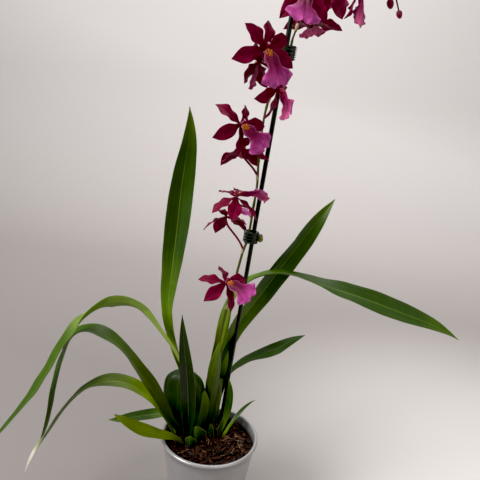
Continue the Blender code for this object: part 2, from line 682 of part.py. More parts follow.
def bloom_axes(bloom):
    """A bloom's right, up and facing directions, from its heading, nod and spin."""
    heading, nod, spin = (math.radians(turn) for turn in (bloom.heading, bloom.nod, bloom.spin))
    facing = np.array([math.cos(nod) * math.cos(heading), math.cos(nod) * math.sin(heading), math.sin(nod)])
    level_up = np.array(
        [-math.sin(nod) * math.cos(heading), -math.sin(nod) * math.sin(heading), math.cos(nod)]
    )
    level_right = np.cross(level_up, facing)
    right = math.cos(spin) * level_right + math.sin(spin) * level_up
    up = math.cos(spin) * level_up - math.sin(spin) * level_right
    return right, up, facing


def petal_surface(bloom, turn, lift, length, half_width):
    """A pointed blade from the heart: widest past its middle, bowed forward and lightly cupped."""
    right, up, facing = bloom_axes(bloom)
    turn, lift = math.radians(turn), math.radians(lift)
    level = math.cos(turn) * right + math.sin(turn) * up
    outward = math.cos(lift) * level + math.sin(lift) * facing
    beside = -math.sin(turn) * right + math.cos(turn) * up
    face = np.cross(outward, beside)
    heart = np.array(bloom.heart, float)
    widest = 0.58

    def surface(along, across):
        growing = 0.2 + 0.8 * np.sin(np.pi / 2 * np.clip(along / widest, 0, 1)) ** 1.6
        shrinking = 1 - np.clip((along - widest) / (1 - widest), 0, 1) ** 2
        half = half_width * np.maximum(np.where(along < widest, growing, shrinking), 0.08)
        raised = 0.25 * length * along * (1 - along) + 0.16 * np.abs(across) * half
        return (
            heart
            + np.outer(along * length, outward)
            + np.outer(across * half, beside)
            + np.outer(raised, face)
        )

    return surface


def lip_axes(bloom):
    """The lip's directions along and across it, and out of its face."""
    right, up, facing = bloom_axes(bloom)
    turn, lift, roll = (math.radians(angle) for angle in bloom.lip)
    level = math.sin(turn) * right - math.cos(turn) * up
    across = math.cos(turn) * right + math.sin(turn) * up
    along = math.cos(lift) * level + math.sin(lift) * facing
    face = np.cross(along, across)
    return along, math.cos(roll) * across + math.sin(roll) * face, math.cos(roll) * face - math.sin(roll) * across


def lip_surface(bloom):
    """The fiddle-shaped lip: it leaves below the column, narrows, then opens into two broad lobes."""
    _, up, facing = bloom_axes(bloom)
    lengthwise, sideways, outward = lip_axes(bloom)
    fine = 40
    middles = (np.arange(fine) + 0.5) / fine
    slope = np.radians(LIP_BEND * (0.6 - middles))
    steps = np.outer(np.cos(slope), lengthwise) + np.outer(np.sin(slope), outward)
    start = np.array(bloom.heart, float) - 0.6 * up + (HEART_RADIUS + GAP + 0.35) * facing
    rib = start + np.vstack([np.zeros(3), np.cumsum(steps * LIP_LENGTH * bloom.lip_size / fine, axis=0)])
    widths = np.array((0.1, 0.32, 0.46, 0.4, 0.46, 0.78, 1.0, 0.95, 0.6)) * LIP_HALF_WIDTH * bloom.lip_size

    def surface(along, across):
        half = knots_at(widths, along)
        out = np.abs(across)
        reach = along - along**4 * (0.1 * (1 - out) ** 2 + 0.13 * out**4)
        slope = np.radians(LIP_BEND * (0.6 - along))
        face = np.outer(np.cos(slope), outward) - np.outer(np.sin(slope), lengthwise)
        centre = np.stack(
            [np.interp(reach, np.linspace(0, 1, fine + 1), rib[:, axis]) for axis in range(3)], axis=1
        )
        droop = -0.2 * half * out**2 + 0.9 * np.sin(11 * along) * out**3 * along
        return centre + np.outer(across * half, sideways) + face * droop[:, None]

    return surface


def make_bloom(bloom, place):
    """A bloom in two nodes: the five outer parts fused with the column, and the lip with its crest."""
    right, up, facing = bloom_axes(bloom)
    heart = np.array(bloom.heart, float)
    outer = (
        (90, SEPAL_TOP, 5.2), (148, PETAL, 5.8), (32, PETAL, 5.8), (222, SEPAL_SIDE, 6), (318, SEPAL_SIDE, 6)
    )
    petals = [
        blade("petal", petal_surface(bloom, turn + lean, lift, length, half), 4, 2, PETAL_THICKNESS, place)
        for (turn, length, half), lift, lean in zip(outer, bloom.lift, bloom.leans)
    ]
    column_end = heart + 4.8 * facing + 4 * up
    column = as_mesh(cylinder("column", 1.3, heart + 0.3 * right, column_end, place, 6))
    core = as_mesh(ball("core", heart, (HEART_RADIUS,) * 3, place, 6, 4))
    joined = boolean(core, petals + [column], "UNION", place)
    joined.name = bloom.name + "_petals"
    finish(joined, make_material("petal crimson", "#7A0A34", 0.5), 60)

    surface = lip_surface(bloom)
    lip = blade("lip", surface, 6, 4, PETAL_THICKNESS, place)
    crest = surface(np.array([0.14]), np.array([0.0]))[0] + 0.6 * lip_axes(bloom)[2]
    lip = boolean(lip, [as_mesh(ball("crest", crest, (1.7, 1.7, 1.7), place, 6, 4))], "UNION", place)
    lip.name = bloom.name + "_lip"
    finish(lip, make_material("lip pink", "#B8458F", 0.5), 60)


def stalk_points(root, leaves_towards, back, behind):
    """A stalk's route: a cubic curve out of the spike and up to the back of a flower."""
    handles = [root, leaves_towards, behind, back]
    step = np.linspace(0, 1, 5)[:, None]
    weights = [(1 - step) ** 3, 3 * step * (1 - step) ** 2, 3 * step**2 * (1 - step), step**3]
    return sum(weight * np.asarray(handle, float) for weight, handle in zip(weights, handles))


def make_spike(place):
    """The flower spike: one long stem with a stalk to each bloom and the buds at its tip."""
    route = smooth_through(SPIKE_ROUTE, 2)
    radii = np.linspace(SPIKE_FOOT_RADIUS, SPIKE_TIP_RADIUS, len(route))
    pieces = []
    for bloom in BLOOMS:
        facing = bloom_axes(bloom)[2]
        root = at_fraction(route, bloom.stalk_at)
        onward = at_fraction(route, min(bloom.stalk_at + 0.012, 1)) - root
        back = np.array(bloom.heart, float) - facing * (HEART_RADIUS + GAP + 0.2)
        stalk_length = np.linalg.norm(back - root)
        out = (back - root) / stalk_length + 0.5 * onward / np.linalg.norm(onward)
        behind = back - facing * min(0.4 * stalk_length, 9)
        points = stalk_points(root, root + out * stalk_length * 0.3, back, behind)
        pieces.append(tube("stalk", points, (*[STALK_RADIUS] * 4, 0.55), place))
    for at, centre, length in BUDS:
        root = at_fraction(route, at)
        centre = np.array(centre, float)
        points = stalk_points(root, root + (centre - root) * 0.4, centre, centre - (centre - root) * 0.3)[::2]
        pieces.append(tube("bud_stalk", points, [STALK_RADIUS] * len(points), place))
        pieces.append(as_mesh(ball("bud", centre, (length * 0.36, length * 0.36, length * 0.5), place)))
    spike = tube("spike", route, radii, place)
    spike = boolean(spike, pieces, "UNION", place)
    spike.name = "flower_spike"
    finish(spike, make_material("spike green", "#3A3A10", 0.5), 60)


def main():
    clear_scene()
    place = make_collection("oncidium_orchid")
    make_pot(place)
    make_bark_mix(place)
    make_bulb(place)
    make_growth(place)
    make_leaves(place)
    make_stake(place)
    make_spike(place)
    for number, (height, tabs) in enumerate(zip(CLIP_HEIGHTS, (1, -1)), start=1):
        make_clip(number, height, tabs, place)
    for bloom in BLOOMS:
        make_bloom(bloom, place)


main()
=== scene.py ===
"""Potted oncidium orchid: the looks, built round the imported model.

Sizes are in millimetres and angles in degrees, and MM turns a finished shape into metres. The frame is the
model's own: +Z up, -Y towards the viewer, and the origin in the middle of the pot's foot.
"""

from __future__ import annotations

import json
import logging
import math
from collections.abc import Callable, Sequence
from dataclasses import dataclass, field
from enum import Enum

import bmesh
import bpy
import numpy as np
from mathutils import Matrix, Vector

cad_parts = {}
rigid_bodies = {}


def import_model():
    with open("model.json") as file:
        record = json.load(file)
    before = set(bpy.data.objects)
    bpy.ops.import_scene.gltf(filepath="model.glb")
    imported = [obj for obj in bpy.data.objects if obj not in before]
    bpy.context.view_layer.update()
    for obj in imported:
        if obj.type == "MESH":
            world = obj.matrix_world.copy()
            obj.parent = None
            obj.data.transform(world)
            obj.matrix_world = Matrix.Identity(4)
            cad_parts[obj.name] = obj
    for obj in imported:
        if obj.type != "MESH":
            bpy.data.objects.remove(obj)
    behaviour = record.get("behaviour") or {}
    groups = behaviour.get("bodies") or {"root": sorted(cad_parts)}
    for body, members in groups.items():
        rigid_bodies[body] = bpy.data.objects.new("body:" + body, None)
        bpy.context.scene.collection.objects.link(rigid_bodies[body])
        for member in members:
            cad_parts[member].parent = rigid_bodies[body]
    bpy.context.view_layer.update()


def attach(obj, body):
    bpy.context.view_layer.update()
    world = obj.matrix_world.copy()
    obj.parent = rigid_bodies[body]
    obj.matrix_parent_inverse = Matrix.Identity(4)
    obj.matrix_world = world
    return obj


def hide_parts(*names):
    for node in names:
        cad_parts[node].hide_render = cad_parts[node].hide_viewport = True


LOG = logging.getLogger("orchid")
Array = np.ndarray
MM = 0.001
UV_NAME = "Blade"
UNDERSIDE = "underside"
SHADE = "shade"
# A direction that no route here starts along; the first ring of a rod is measured from it
ASKEW = (0.31, 0.17, 0.93)
# How far a rod's end bulges past its last ring, as a share of its radius
END_BULGE = 0.35
# Nearly all of a noise pattern lies between these two values
NOISE_LOW, NOISE_HIGH = 0.3, 0.7
COAT_ROUGHNESS = 0.2
# How far red, green and blue light wanders under a living skin
SCATTER_MM = (0.6, 0.3, 0.15)
# A fold sharper than this keeps a sharp edge under smooth shading
SHARP_FOLD = 50.0
COLOUR_MIX = {"data_type": "RGBA"}
SMOOTHSTEP = {"interpolation_type": "SMOOTHSTEP"}


class Body(Enum):
    """The model's moving bodies."""

    PLANT = "plant"
    CLIP_1_JAW = "clip_1_jaw"
    CLIP_2_JAW = "clip_2_jaw"


class Slot(Enum):
    """The record's material slots."""

    POT = "silver_plastic"
    BARK = "bark"
    BULB = "bulb_green"
    GROWTH = "growth_olive"
    LEAF = "leaf_green"
    LEAF_PALE = "leaf_pale"
    LEAF_LIGHT = "leaf_light"
    LEAF_DARK = "leaf_dark"
    STAKE = "stake_plastic"
    SPIKE = "spike_green"
    CLIP = "clip_plastic"
    PETAL = "petal_crimson"
    LIP = "lip_pink"


def unit(vectors: Array) -> Array:
    """Vectors scaled to length 1."""
    return vectors / np.maximum(np.linalg.norm(vectors, axis=-1, keepdims=True), 1e-12)


def smooth_line(points: Sequence, each: int) -> Array:
    """A smooth line through points: Catmull-Rom cubics with `each` steps between two neighbours.

    Args:
        points: The points, as rows of any number of coordinates.
        each: How many steps each stretch is divided into.

    Returns:
        The points of the line, the last given one included.
    """
    line = np.array(points, float)
    ends = np.vstack([2 * line[0] - line[1], line, 2 * line[-1] - line[-2]])
    step = (np.arange(each) / each)[None, :, None]
    before, here, there, after = (ends[first : first + len(line) - 1, None] for first in range(4))
    found = 0.5 * (
        2 * here
        + (there - before) * step
        + (2 * before - 5 * here + 4 * there - after) * step**2
        + (3 * here - before - 3 * there + after) * step**3
    )
    return np.vstack([found.reshape(-1, line.shape[1]), line[-1:]])


def smooth_knots(knots: Sequence[float], at: Array) -> Array:
    """Values of a smooth curve through evenly spaced knots, at places from 0 to 1."""
    line = smooth_line(np.array(knots, float)[:, None], 12)[:, 0]
    return np.interp(at, np.linspace(0, 1, len(line)), line)


def knots_at(knots: Sequence[float], at: Array) -> Array:
    """Values on straight runs between evenly spaced knots, at places from 0 to 1."""
    return np.interp(at, np.linspace(0, 1, len(knots)), knots)


def line_at(at: Array | float, places: Array, line: Array) -> Array:
    """Points of a line at any place along it, on straight runs between its given places."""
    return np.stack([np.interp(at, places, line[:, axis]) for axis in range(line.shape[1])], axis=-1)


def blade_grid(places: Array, columns: int) -> tuple[Array, Array]:
    """A blade's grid: the given places along it, and even ones from -1 to 1 across it."""
    along, across = np.meshgrid(places, np.linspace(-1, 1, columns), indexing="ij")
    return along, across


def blade_uv(along: Array, across: Array) -> Array:
    """A blade's UV pairs: U from its foot to its tip, and V from 0 to 1 across it."""
    return np.stack([along, (across + 1) / 2], axis=-1)


@dataclass
class Shape:
    """A surface before it is a mesh.

    It has points in millimetres, quads, triangles, and a UV pair and named values for each point.
    """

    points: Array
    quads: Array
    triangles: Array
    uv: Array
    values: dict[str, Array] = field(default_factory=dict)

    @staticmethod
    def joined(shapes: Sequence["Shape"]) -> "Shape":
        """Puts several shapes side by side in one.

        Args:
            shapes: The shapes, which all have the same named values.

        Returns:
            One shape that holds them all.
        """
        firsts = np.cumsum([0] + [len(shape.points) for shape in shapes])
        return Shape(
            np.vstack([shape.points for shape in shapes]),
            np.vstack([shape.quads + first for shape, first in zip(shapes, firsts)]),
            np.vstack([shape.triangles + first for shape, first in zip(shapes, firsts)]),
            np.vstack([shape.uv for shape in shapes]),
            {name: np.concatenate([shape.values[name] for shape in shapes]) for name in shapes[0].values},
        )

    def shaded(self, value: float) -> "Shape":
        """The same shape with one shade value all over."""
        self.values[SHADE] = np.full(len(self.points), float(value))
        return self


def grid_quads(rows: int, columns: int, wrapped: bool = False) -> Array:
    """Quads between neighbouring rows and columns of points that are counted row by row.

    Args:
        rows: How many rows of points there are.
        columns: How many points a row has.
        wrapped: True where each row closes into a ring.

    Returns:
        Four point numbers for each quad.
    """
    row, column = np.meshgrid(np.arange(rows - 1), np.arange(columns - (not wrapped)), indexing="ij")
    after = (column + 1) % columns
    corners = [
        row * columns + column, row * columns + after, (row + 1) * columns + after,
        (row + 1) * columns + column,
    ]
    return np.stack([corner.ravel() for corner in corners], axis=1)


def shell(middle: Array, thickness: Array, uv: Array) -> Shape:
    """A closed blade: a grid of points moved half the thickness to each side along its own normals.

    Args:
        middle: The middle surface, rows by columns by 3.
        thickness: Its thickness at each point, rows by columns.
        uv: A UV pair for each point, rows by columns by 2.

    Returns:
        The two faces with a closed border, and the value `underside`, 0 on the upper face and 1 below.
    """
    rows, columns = middle.shape[:2]
    normal = unit(np.cross(np.gradient(middle, axis=0), np.gradient(middle, axis=1)))
    offset = normal * thickness[:, :, None] / 2
    upper, lower = (middle + offset).reshape(-1, 3), (middle - offset).reshape(-1, 3)
    count = rows * columns
    faces = grid_quads(rows, columns)
    number = np.arange(count).reshape(rows, columns)
    border = np.concatenate([number[0, :-1], number[:-1, -1], number[-1, :0:-1], number[:0:-1, 0]])
    onward = np.roll(border, -1)
    rim = np.stack([onward, border, border + count, onward + count], axis=1)
    flat = uv.reshape(-1, 2)
    side = np.concatenate([np.zeros(count), np.ones(count)])
    return Shape(
        np.vstack([upper, lower]),
        np.vstack([faces, faces[:, ::-1] + count, rim]),
        np.zeros((0, 3), int),
        np.vstack([flat, flat]),
        {UNDERSIDE: side},
    )


def ringed(rings: Array, first_pole: Array, last_pole: Array) -> Shape:
    """A closed surface through rings of points, with a point that closes each end.

    Args:
        rings: The rings, rings by points by 3.
        first_pole: The point that closes the first ring.
        last_pole: The point that closes the last ring.

    Returns:
        The shape; its U runs along the rings and its V round them.
    """
    count, sides = rings.shape[:2]
    total = count * sides
    here = np.arange(sides)
    after = np.roll(here, -1)
    first = np.stack([np.full(sides, total), after, here], axis=1)
    last = np.stack([np.full(sides, total + 1), here + total - sides, after + total - sides], axis=1)
    along, turn = np.meshgrid(np.linspace(0, 1, count), np.arange(sides) / sides, indexing="ij")
    uv = np.stack([along.ravel(), turn.ravel()], axis=1)
    return Shape(
        np.vstack([rings.reshape(-1, 3), first_pole, last_pole]),
        grid_quads(count, sides, wrapped=True),
        np.vstack([first, last]),
        np.vstack([uv, [[0.0, 0.5], [1.0, 0.5]]]),
    )


def turned(profile: Array, sides: int) -> Shape:
    """A profile of (radius, height) turned about +Z; its first and last points lie on the axis.

    Args:
        profile: The profile's points.
        sides: How many points go once round.

    Returns:
        The closed surface.
    """
    turn = np.arange(sides) * 2 * np.pi / sides
    radius, height = profile[1:-1, 0], profile[1:-1, 1]
    rings = np.stack(
        [
            np.outer(radius, np.cos(turn)), np.outer(radius, np.sin(turn)),
            np.repeat(height[:, None], sides, axis=1),
        ],
        axis=2,
    )
    return ringed(rings, np.array([0, 0, profile[0, 1]]), np.array([0, 0, profile[-1, 1]]))


def swept(route: Array, radii: Array, sides: int) -> Shape:
    """A round rod along a route, a ring to each point; the rings are carried on without twisting.

    Args:
        route: The points of the rod's axis.
        radii: The rod's radius at each of them.
        sides: How many points a ring has.

    Returns:
        The rod with rounded ends.
    """
    ahead = unit(np.gradient(route, axis=0))
    beside = unit(np.cross(ahead[0], ASKEW))
    frames = []
    for direction in ahead:
        beside = unit(beside - direction * (beside @ direction))
        frames.append(beside)
    across = np.array(frames)
    other = np.cross(ahead, across)
    turn = np.arange(sides) * 2 * np.pi / sides
    rim = across[:, None] * np.cos(turn)[None, :, None] + other[:, None] * np.sin(turn)[None, :, None]
    rings = route[:, None] + rim * np.asarray(radii, float)[:, None, None]
    ends = (route[0] - ahead[0] * radii[0] * END_BULGE, route[-1] + ahead[-1] * radii[-1] * END_BULGE)
    return ringed(rings, *ends)


def egg(
    centre: Sequence[float], radii: Sequence[float], axes: Array, sides: int = 12, rings: int = 9
) -> Shape:
    """An ellipsoid: its radii lie along the three rows of axes, and its poles on the last of them.

    Args:
        centre: Its middle.
        radii: Its three radii.
        axes: Three directions at right angles, one a row.
        sides: How many points a ring has.
        rings: How many rings lie between the poles.

    Returns:
        The ellipsoid.
    """
    tilt = np.linspace(0, np.pi, rings + 2)[1:-1]
    turn = np.arange(sides) * 2 * np.pi / sides
    ball = np.stack(
        [
            np.outer(np.sin(tilt), np.cos(turn)),
            np.outer(np.sin(tilt), np.sin(turn)),
            np.repeat(np.cos(tilt)[:, None], sides, axis=1),
        ],
        axis=2,
    )
    size = np.asarray(radii, float)[:, None] * np.asarray(axes, float)
    centre = np.asarray(centre, float)
    return ringed(ball[::-1] @ size + centre, centre - size[2], centre + size[2])


def linear(colour: str) -> tuple[float, float, float, float]:
    """An sRGB hex colour as linear red, green, blue and full alpha."""
    parts = [int(colour[place : place + 2], 16) / 255 for place in (1, 3, 5)]
    return (*[c / 12.92 if c <= 0.04045 else ((c + 0.055) / 1.055) ** 2.4 for c in parts], 1.0)


def add_node(
    tree: bpy.types.NodeTree, kind: str, settings: dict | None = None, inputs: dict | None = None
) -> bpy.types.Node:
    """Adds a node, with its settings and with its inputs set or linked.

    Args:
        tree: The material's node tree.
        kind: The node's Blender type.
        settings: Values of the node's own properties.
        inputs: For an input's name or number, a value or the socket that feeds it.

    Returns:
        The node.
    """
    node = tree.nodes.new(kind)
    for name, value in (settings or {}).items():
        setattr(node, name, value)
    for name, value in (inputs or {}).items():
        if isinstance(value, bpy.types.NodeSocket):
            tree.links.new(value, node.inputs[name])
        else:
            node.inputs[name].default_value = value
    return node


def set_stops(node: bpy.types.Node, stops: Sequence[tuple[float, str]]) -> None:
    """Gives a colour ramp its stops, as (place, sRGB hex colour) pairs.

    Args:
        node: The colour ramp's node.
        stops: The stops, in order.
    """
    ramp = node.color_ramp
    while len(ramp.elements) < len(stops):
        ramp.elements.new(1.0)
    for element, (place, colour) in zip(ramp.elements, stops):
        element.position = place
        element.color = linear(colour)


@dataclass(frozen=True)
class Finish:
    """What every finish has: one Principled shader whose single values come from the real material."""

    name: str
    roughness: float = 0.45
    ior: float = 1.45
    metallic: float = 0.0
    coat: float = 0.0
    subsurface: float = 0.0
    transmission: float = 0.0
    grain_mm: float = 1.0
    grain_depth_mm: float = 0.05

    def material(self) -> bpy.types.Material:
        """The Blender material, made once.

        Returns:
            The material.
        """
        made = bpy.data.materials.get(self.name)
        if made:
            return made
        made = bpy.data.materials.new(self.name)
        made.use_nodes = True
        tree = made.node_tree
        shader = tree.nodes["Principled BSDF"]
        values = {
            "Roughness": self.roughness,
            "IOR": self.ior,
            "Metallic": self.metallic,
            "Coat Weight": self.coat,
            "Coat Roughness": COAT_ROUGHNESS,
            "Subsurface Weight": self.subsurface,
            "Transmission Weight": self.transmission,
        }
        for name, value in values.items():
            shader.inputs[name].default_value = value
        shader.inputs["Subsurface Radius"].default_value = [part * MM for part in SCATTER_MM]
        shader.inputs["Subsurface Scale"].default_value = 1.0
        tree.links.new(self.colour(tree), shader.inputs["Base Color"])
        bump = add_node(
            tree,
            "ShaderNodeBump",
            {},
            {"Strength": 1.0, "Distance": self.grain_depth_mm * MM, "Height": self.height(tree)},
        )
        tree.links.new(bump.outputs["Normal"], shader.inputs["Normal"])
        return made

    def colour(self, tree: bpy.types.NodeTree) -> bpy.types.NodeSocket:
        """The socket that gives the base colour."""
        raise NotImplementedError

    def height(self, tree: bpy.types.NodeTree) -> bpy.types.NodeSocket:
        """The socket that gives the relief, from 0 to 1."""
        raise NotImplementedError


@dataclass(frozen=True)
class BladeFinish(Finish):
    """A leaf, petal or lip: colours run along it and out to its margin, with streaks along its veins.

    The blade's UV map gives U from its foot to its tip and V across it, and the value `underside` tells its
    two faces apart.
    """

    upper: tuple[tuple[float, str], ...] = ((0.0, "#33560F"), (1.0, "#33560F"))
    under: tuple[tuple[float, str], ...] = ((0.0, "#4F7A22"), (1.0, "#4F7A22"))
    rib: str = "#4F7A22"
    rib_width: float = 0.03
    rib_strength: float = 0.75
    rib_fade: float = 0.55
    margin: str = "#33560F"
    margin_from: float = 0.9
    margin_strength: float = 0.0
    veins: float = 36.0
    vein_strength: float = 0.2
    blotch_mm: float = 14.0
    blotch_strength: float = 0.12

    def across(self, tree: bpy.types.NodeTree) -> bpy.types.NodeSocket:
        """How far out from the midrib a place is: 0 on it and 1 at the margin.

        Args:
            tree: The material's node tree.

        Returns:
            The socket that gives it.
        """
        uv = add_node(tree, "ShaderNodeUVMap", {"uv_map": UV_NAME})
        parts = add_node(tree, "ShaderNodeSeparateXYZ", {}, {0: uv.outputs["UV"]})
        shifted = add_node(
            tree, "ShaderNodeMath", {"operation": "MULTIPLY_ADD"}, {0: parts.outputs["Y"], 1: 2.0, 2: -1.0}
        )
        return add_node(
            tree, "ShaderNodeMath", {"operation": "ABSOLUTE"}, {0: shifted.outputs[0]}
        ).outputs[0]

    def streaks(self, tree: bpy.types.NodeTree, count: float) -> bpy.types.NodeSocket:
        """Noise drawn out along the blade, with about `count` streaks across it.

        Args:
            tree: The material's node tree.
            count: About how many streaks lie across the blade.

        Returns:
            The socket that gives the noise.
        """
        uv = add_node(tree, "ShaderNodeUVMap", {"uv_map": UV_NAME})
        drawn = add_node(
            tree, "ShaderNodeMapping", {}, {"Vector": uv.outputs["UV"], "Scale": (2.5, count, 1.0)}
        )
        noise = add_node(
            tree, "ShaderNodeTexNoise", {},
            {"Vector": drawn.outputs[0], "Scale": 1.0, "Detail": 3.0, "Roughness": 0.6}
        )
        return noise.outputs["Fac"]

    def colour(self, tree: bpy.types.NodeTree) -> bpy.types.NodeSocket:
        """Ramps along the two faces, then the rib, the margin, the veins and soft blotches.

        Args:
            tree: The material's node tree.

        Returns:
            The socket that gives the colour.
        """
        uv = add_node(tree, "ShaderNodeUVMap", {"uv_map": UV_NAME})
        along = add_node(tree, "ShaderNodeSeparateXYZ", {}, {0: uv.outputs["UV"]}).outputs["X"]
        upper = add_node(tree, "ShaderNodeValToRGB", {}, {0: along})
        set_stops(upper, self.upper)
        under = add_node(tree, "ShaderNodeValToRGB", {}, {0: along})
        set_stops(under, self.under)
        side = add_node(tree, "ShaderNodeAttribute", {"attribute_name": UNDERSIDE})
        faces = add_node(
            tree,
            "ShaderNodeMix",
            COLOUR_MIX,
            {0: side.outputs["Fac"], 6: upper.outputs[0], 7: under.outputs[0]},
        )
        out = self.across(tree)
        fading = add_node(
            tree, "ShaderNodeMath", {"operation": "MULTIPLY_ADD"},
            {0: along, 1: -self.rib_fade * self.rib_strength, 2: self.rib_strength}
        )
        rib = add_node(
            tree,
            "ShaderNodeMapRange",
            SMOOTHSTEP,
            {
                "Value": out,
                "From Min": 0.0,
                "From Max": self.rib_width * 2,
                "To Min": fading.outputs[0],
                "To Max": 0.0,
            },
        )
        ribbed = add_node(
            tree, "ShaderNodeMix", COLOUR_MIX, {0: rib.outputs[0], 6: faces.outputs[2], 7: linear(self.rib)}
        )
        edge = add_node(
            tree,
            "ShaderNodeMapRange",
            SMOOTHSTEP,
            {
                "Value": out, "From Min": self.margin_from, "From Max": 1.0, "To Min": 0.0,
                "To Max": self.margin_strength,
            },
        )
        edged = add_node(
            tree, "ShaderNodeMix", COLOUR_MIX,
            {0: edge.outputs[0], 6: ribbed.outputs[2], 7: linear(self.margin)}
        )
        place = add_node(tree, "ShaderNodeTexCoord")
        blotch = add_node(
            tree,
            "ShaderNodeTexNoise",
            {},
            {"Vector": place.outputs["Object"], "Scale": 1 / (self.blotch_mm * MM), "Detail": 2.0},
        )
        strengths = (
            (self.streaks(tree, self.veins), self.vein_strength),
            (self.streaks(tree, self.veins / 4), self.vein_strength),
            (blotch.outputs["Fac"], self.blotch_strength),
        )
        tone: bpy.types.NodeSocket | float = 1.0
        for pattern, strength in strengths:
            scaled = add_node(
                tree,
                "ShaderNodeMapRange",
                {},
                {
                    "Value": pattern, "From Min": NOISE_LOW, "From Max": NOISE_HIGH, "To Min": 1 - strength,
                    "To Max": 1 + strength,
                },
            )
            tone = add_node(
                tree, "ShaderNodeMath", {"operation": "MULTIPLY"}, {0: tone, 1: scaled.outputs[0]}
            ).outputs[0]
        varied = add_node(tree, "ShaderNodeHueSaturation", {}, {"Value": tone, "Color": edged.outputs[2]})
        return varied.outputs[0]

    def height(self, tree: bpy.types.NodeTree) -> bpy.types.NodeSocket:
        """Fine parallel veins."""
        return self.streaks(tree, self.veins * 1.6)


@dataclass(frozen=True)
class SolidFinish(Finish):
    """A solid thing: its colour ramp is read from noise or, by shade_share, from the value `shade`.

    The noise is drawn out along Z by `stretch`.
    """

    tones: tuple[tuple[float, str], ...] = ((0.3, "#303030"), (0.7, "#404040"))
    tone_mm: float = 6.0
    stretch: float = 1.0
    shade_share: float = 0.0

    def noise(self, tree: bpy.types.NodeTree, size_mm: float, detail: float) -> bpy.types.NodeSocket:
        """Noise of one grain size on the piece's own coordinates.

        Args:
            tree: The material's node tree.
            size_mm: The size of a grain.
            detail: How many finer layers lie on it.

        Returns:
            The socket that gives the noise.
        """
        place = add_node(tree, "ShaderNodeTexCoord")
        drawn = add_node(
            tree, "ShaderNodeMapping", {},
            {"Vector": place.outputs["Object"], "Scale": (1.0, 1.0, 1 / self.stretch)}
        )
        found = add_node(
            tree, "ShaderNodeTexNoise", {},
            {"Vector": drawn.outputs[0], "Scale": 1 / (size_mm * MM), "Detail": detail}
        )
        return found.outputs["Fac"]

    def colour(self, tree: bpy.types.NodeTree) -> bpy.types.NodeSocket:
        """The ramp read from noise and, by shade_share, from the piece's shade value.

        Args:
            tree: The material's node tree.

        Returns:
            The socket that gives the colour.
        """
        shade = add_node(tree, "ShaderNodeAttribute", {"attribute_name": SHADE})
        factor = add_node(
            tree,
            "ShaderNodeMix",
            {"data_type": "FLOAT"},
            {0: self.shade_share, 2: self.noise(tree, self.tone_mm, 4.0), 3: shade.outputs["Fac"]},
        )
        ramp = add_node(tree, "ShaderNodeValToRGB", {}, {0: factor.outputs[0]})
        set_stops(ramp, self.tones)
        return ramp.outputs[0]

    def height(self, tree: bpy.types.NodeTree) -> bpy.types.NodeSocket:
        """Grain of the finish's own size."""
        return self.noise(tree, self.grain_mm, 3.0)


@dataclass(frozen=True)
class PaperFinish(Finish):
    """Backdrop paper: its tone changes with its depth as painted light fall-off, and a painted pool of
    light lies round one place on the floor.
    """

    near: float = -0.6
    far: float = 2.3
    lean: float = 0.3
    # The painted pool of light: its middle, where it starts to fade in, where it is full, and its colour
    light_pool_at: tuple[float, float, float] = (0.5, 0.1, 0.0)
    light_pool_from: float = 0.65
    light_pool_within: float = 0.06
    pale: str = "#E2DEDC"
    # Painted light fall-off: dark at the front, pale at the back
    tones: tuple[tuple[float, str], ...] = (
        (0.0, "#8A8482"), (0.3, "#928C8A"), (0.5, "#ACA6A4"), (0.7, "#C8C3C1"), (0.85, "#DAD5D4"),
        (1.0, "#EEEAE9"),
    )

    def colour(self, tree: bpy.types.NodeTree) -> bpy.types.NodeSocket:
        """A ramp over the paper's depth, height and a share of X as painted light fall-off, then the
        painted pool of light.

        Args:
            tree: The material's node tree.

        Returns:
            The socket that gives the colour.
        """
        place = add_node(tree, "ShaderNodeTexCoord")
        parts = add_node(tree, "ShaderNodeSeparateXYZ", {}, {0: place.outputs["Object"]})
        climb = add_node(
            tree, "ShaderNodeMath", {"operation": "ADD"}, {0: parts.outputs["Y"], 1: parts.outputs["Z"]}
        )
        depth = add_node(
            tree,
            "ShaderNodeMath",
            {"operation": "MULTIPLY_ADD"},
            {0: parts.outputs["X"], 1: self.lean, 2: climb.outputs[0]},
        )
        share = add_node(
            tree, "ShaderNodeMapRange", {},
            {"Value": depth.outputs[0], "From Min": self.near, "From Max": self.far}
        )
        ramp = add_node(tree, "ShaderNodeValToRGB", {}, {0: share.outputs[0]})
        set_stops(ramp, self.tones)
        # A painted pool of light on the floor round one place
        away = add_node(
            tree, "ShaderNodeVectorMath", {"operation": "DISTANCE"},
            {0: place.outputs["Object"], 1: self.light_pool_at}
        )
        light_pool = add_node(
            tree,
            "ShaderNodeMapRange",
            SMOOTHSTEP,
            {"Value": away.outputs["Value"], "From Min": self.light_pool_from, "From Max": self.light_pool_within},
        )
        mixed = add_node(
            tree, "ShaderNodeMix", COLOUR_MIX,
            {0: light_pool.outputs[0], 6: ramp.outputs[0], 7: linear(self.pale)}
        )
        return mixed.outputs[2]

    def height(self, tree: bpy.types.NodeTree) -> bpy.types.NodeSocket:
        """The paper's fine tooth.

        Args:
            tree: The material's node tree.

        Returns:
            The socket that gives the relief.
        """
        place = add_node(tree, "ShaderNodeTexCoord")
        noise = add_node(
            tree,
            "ShaderNodeTexNoise",
            {},
            {"Vector": place.outputs["Object"], "Scale": 1 / (self.grain_mm * MM), "Detail": 2.0},
        )
        return noise.outputs["Fac"]


# Waxy living leaf: a smooth cuticle over long parallel veins, so the gloss is soft and drawn out
LEAF_DEEP = BladeFinish(
    "Waxy leaf, deep green",
    roughness=0.36,
    subsurface=0.05,
    grain_depth_mm=0.05,
    upper=(
        (0.0, "#34460A"), (0.1, "#6E8A1E"), (0.3, "#557412"), (0.5, "#2E4A08"), (0.85, "#36540A"),
        (1.0, "#5E7A14"),
    ),
    under=((0.0, "#56700E"), (0.12, "#7C9A2C"), (0.4, "#52761C"), (1.0, "#486C14")),
    rib="#88A83C",
)
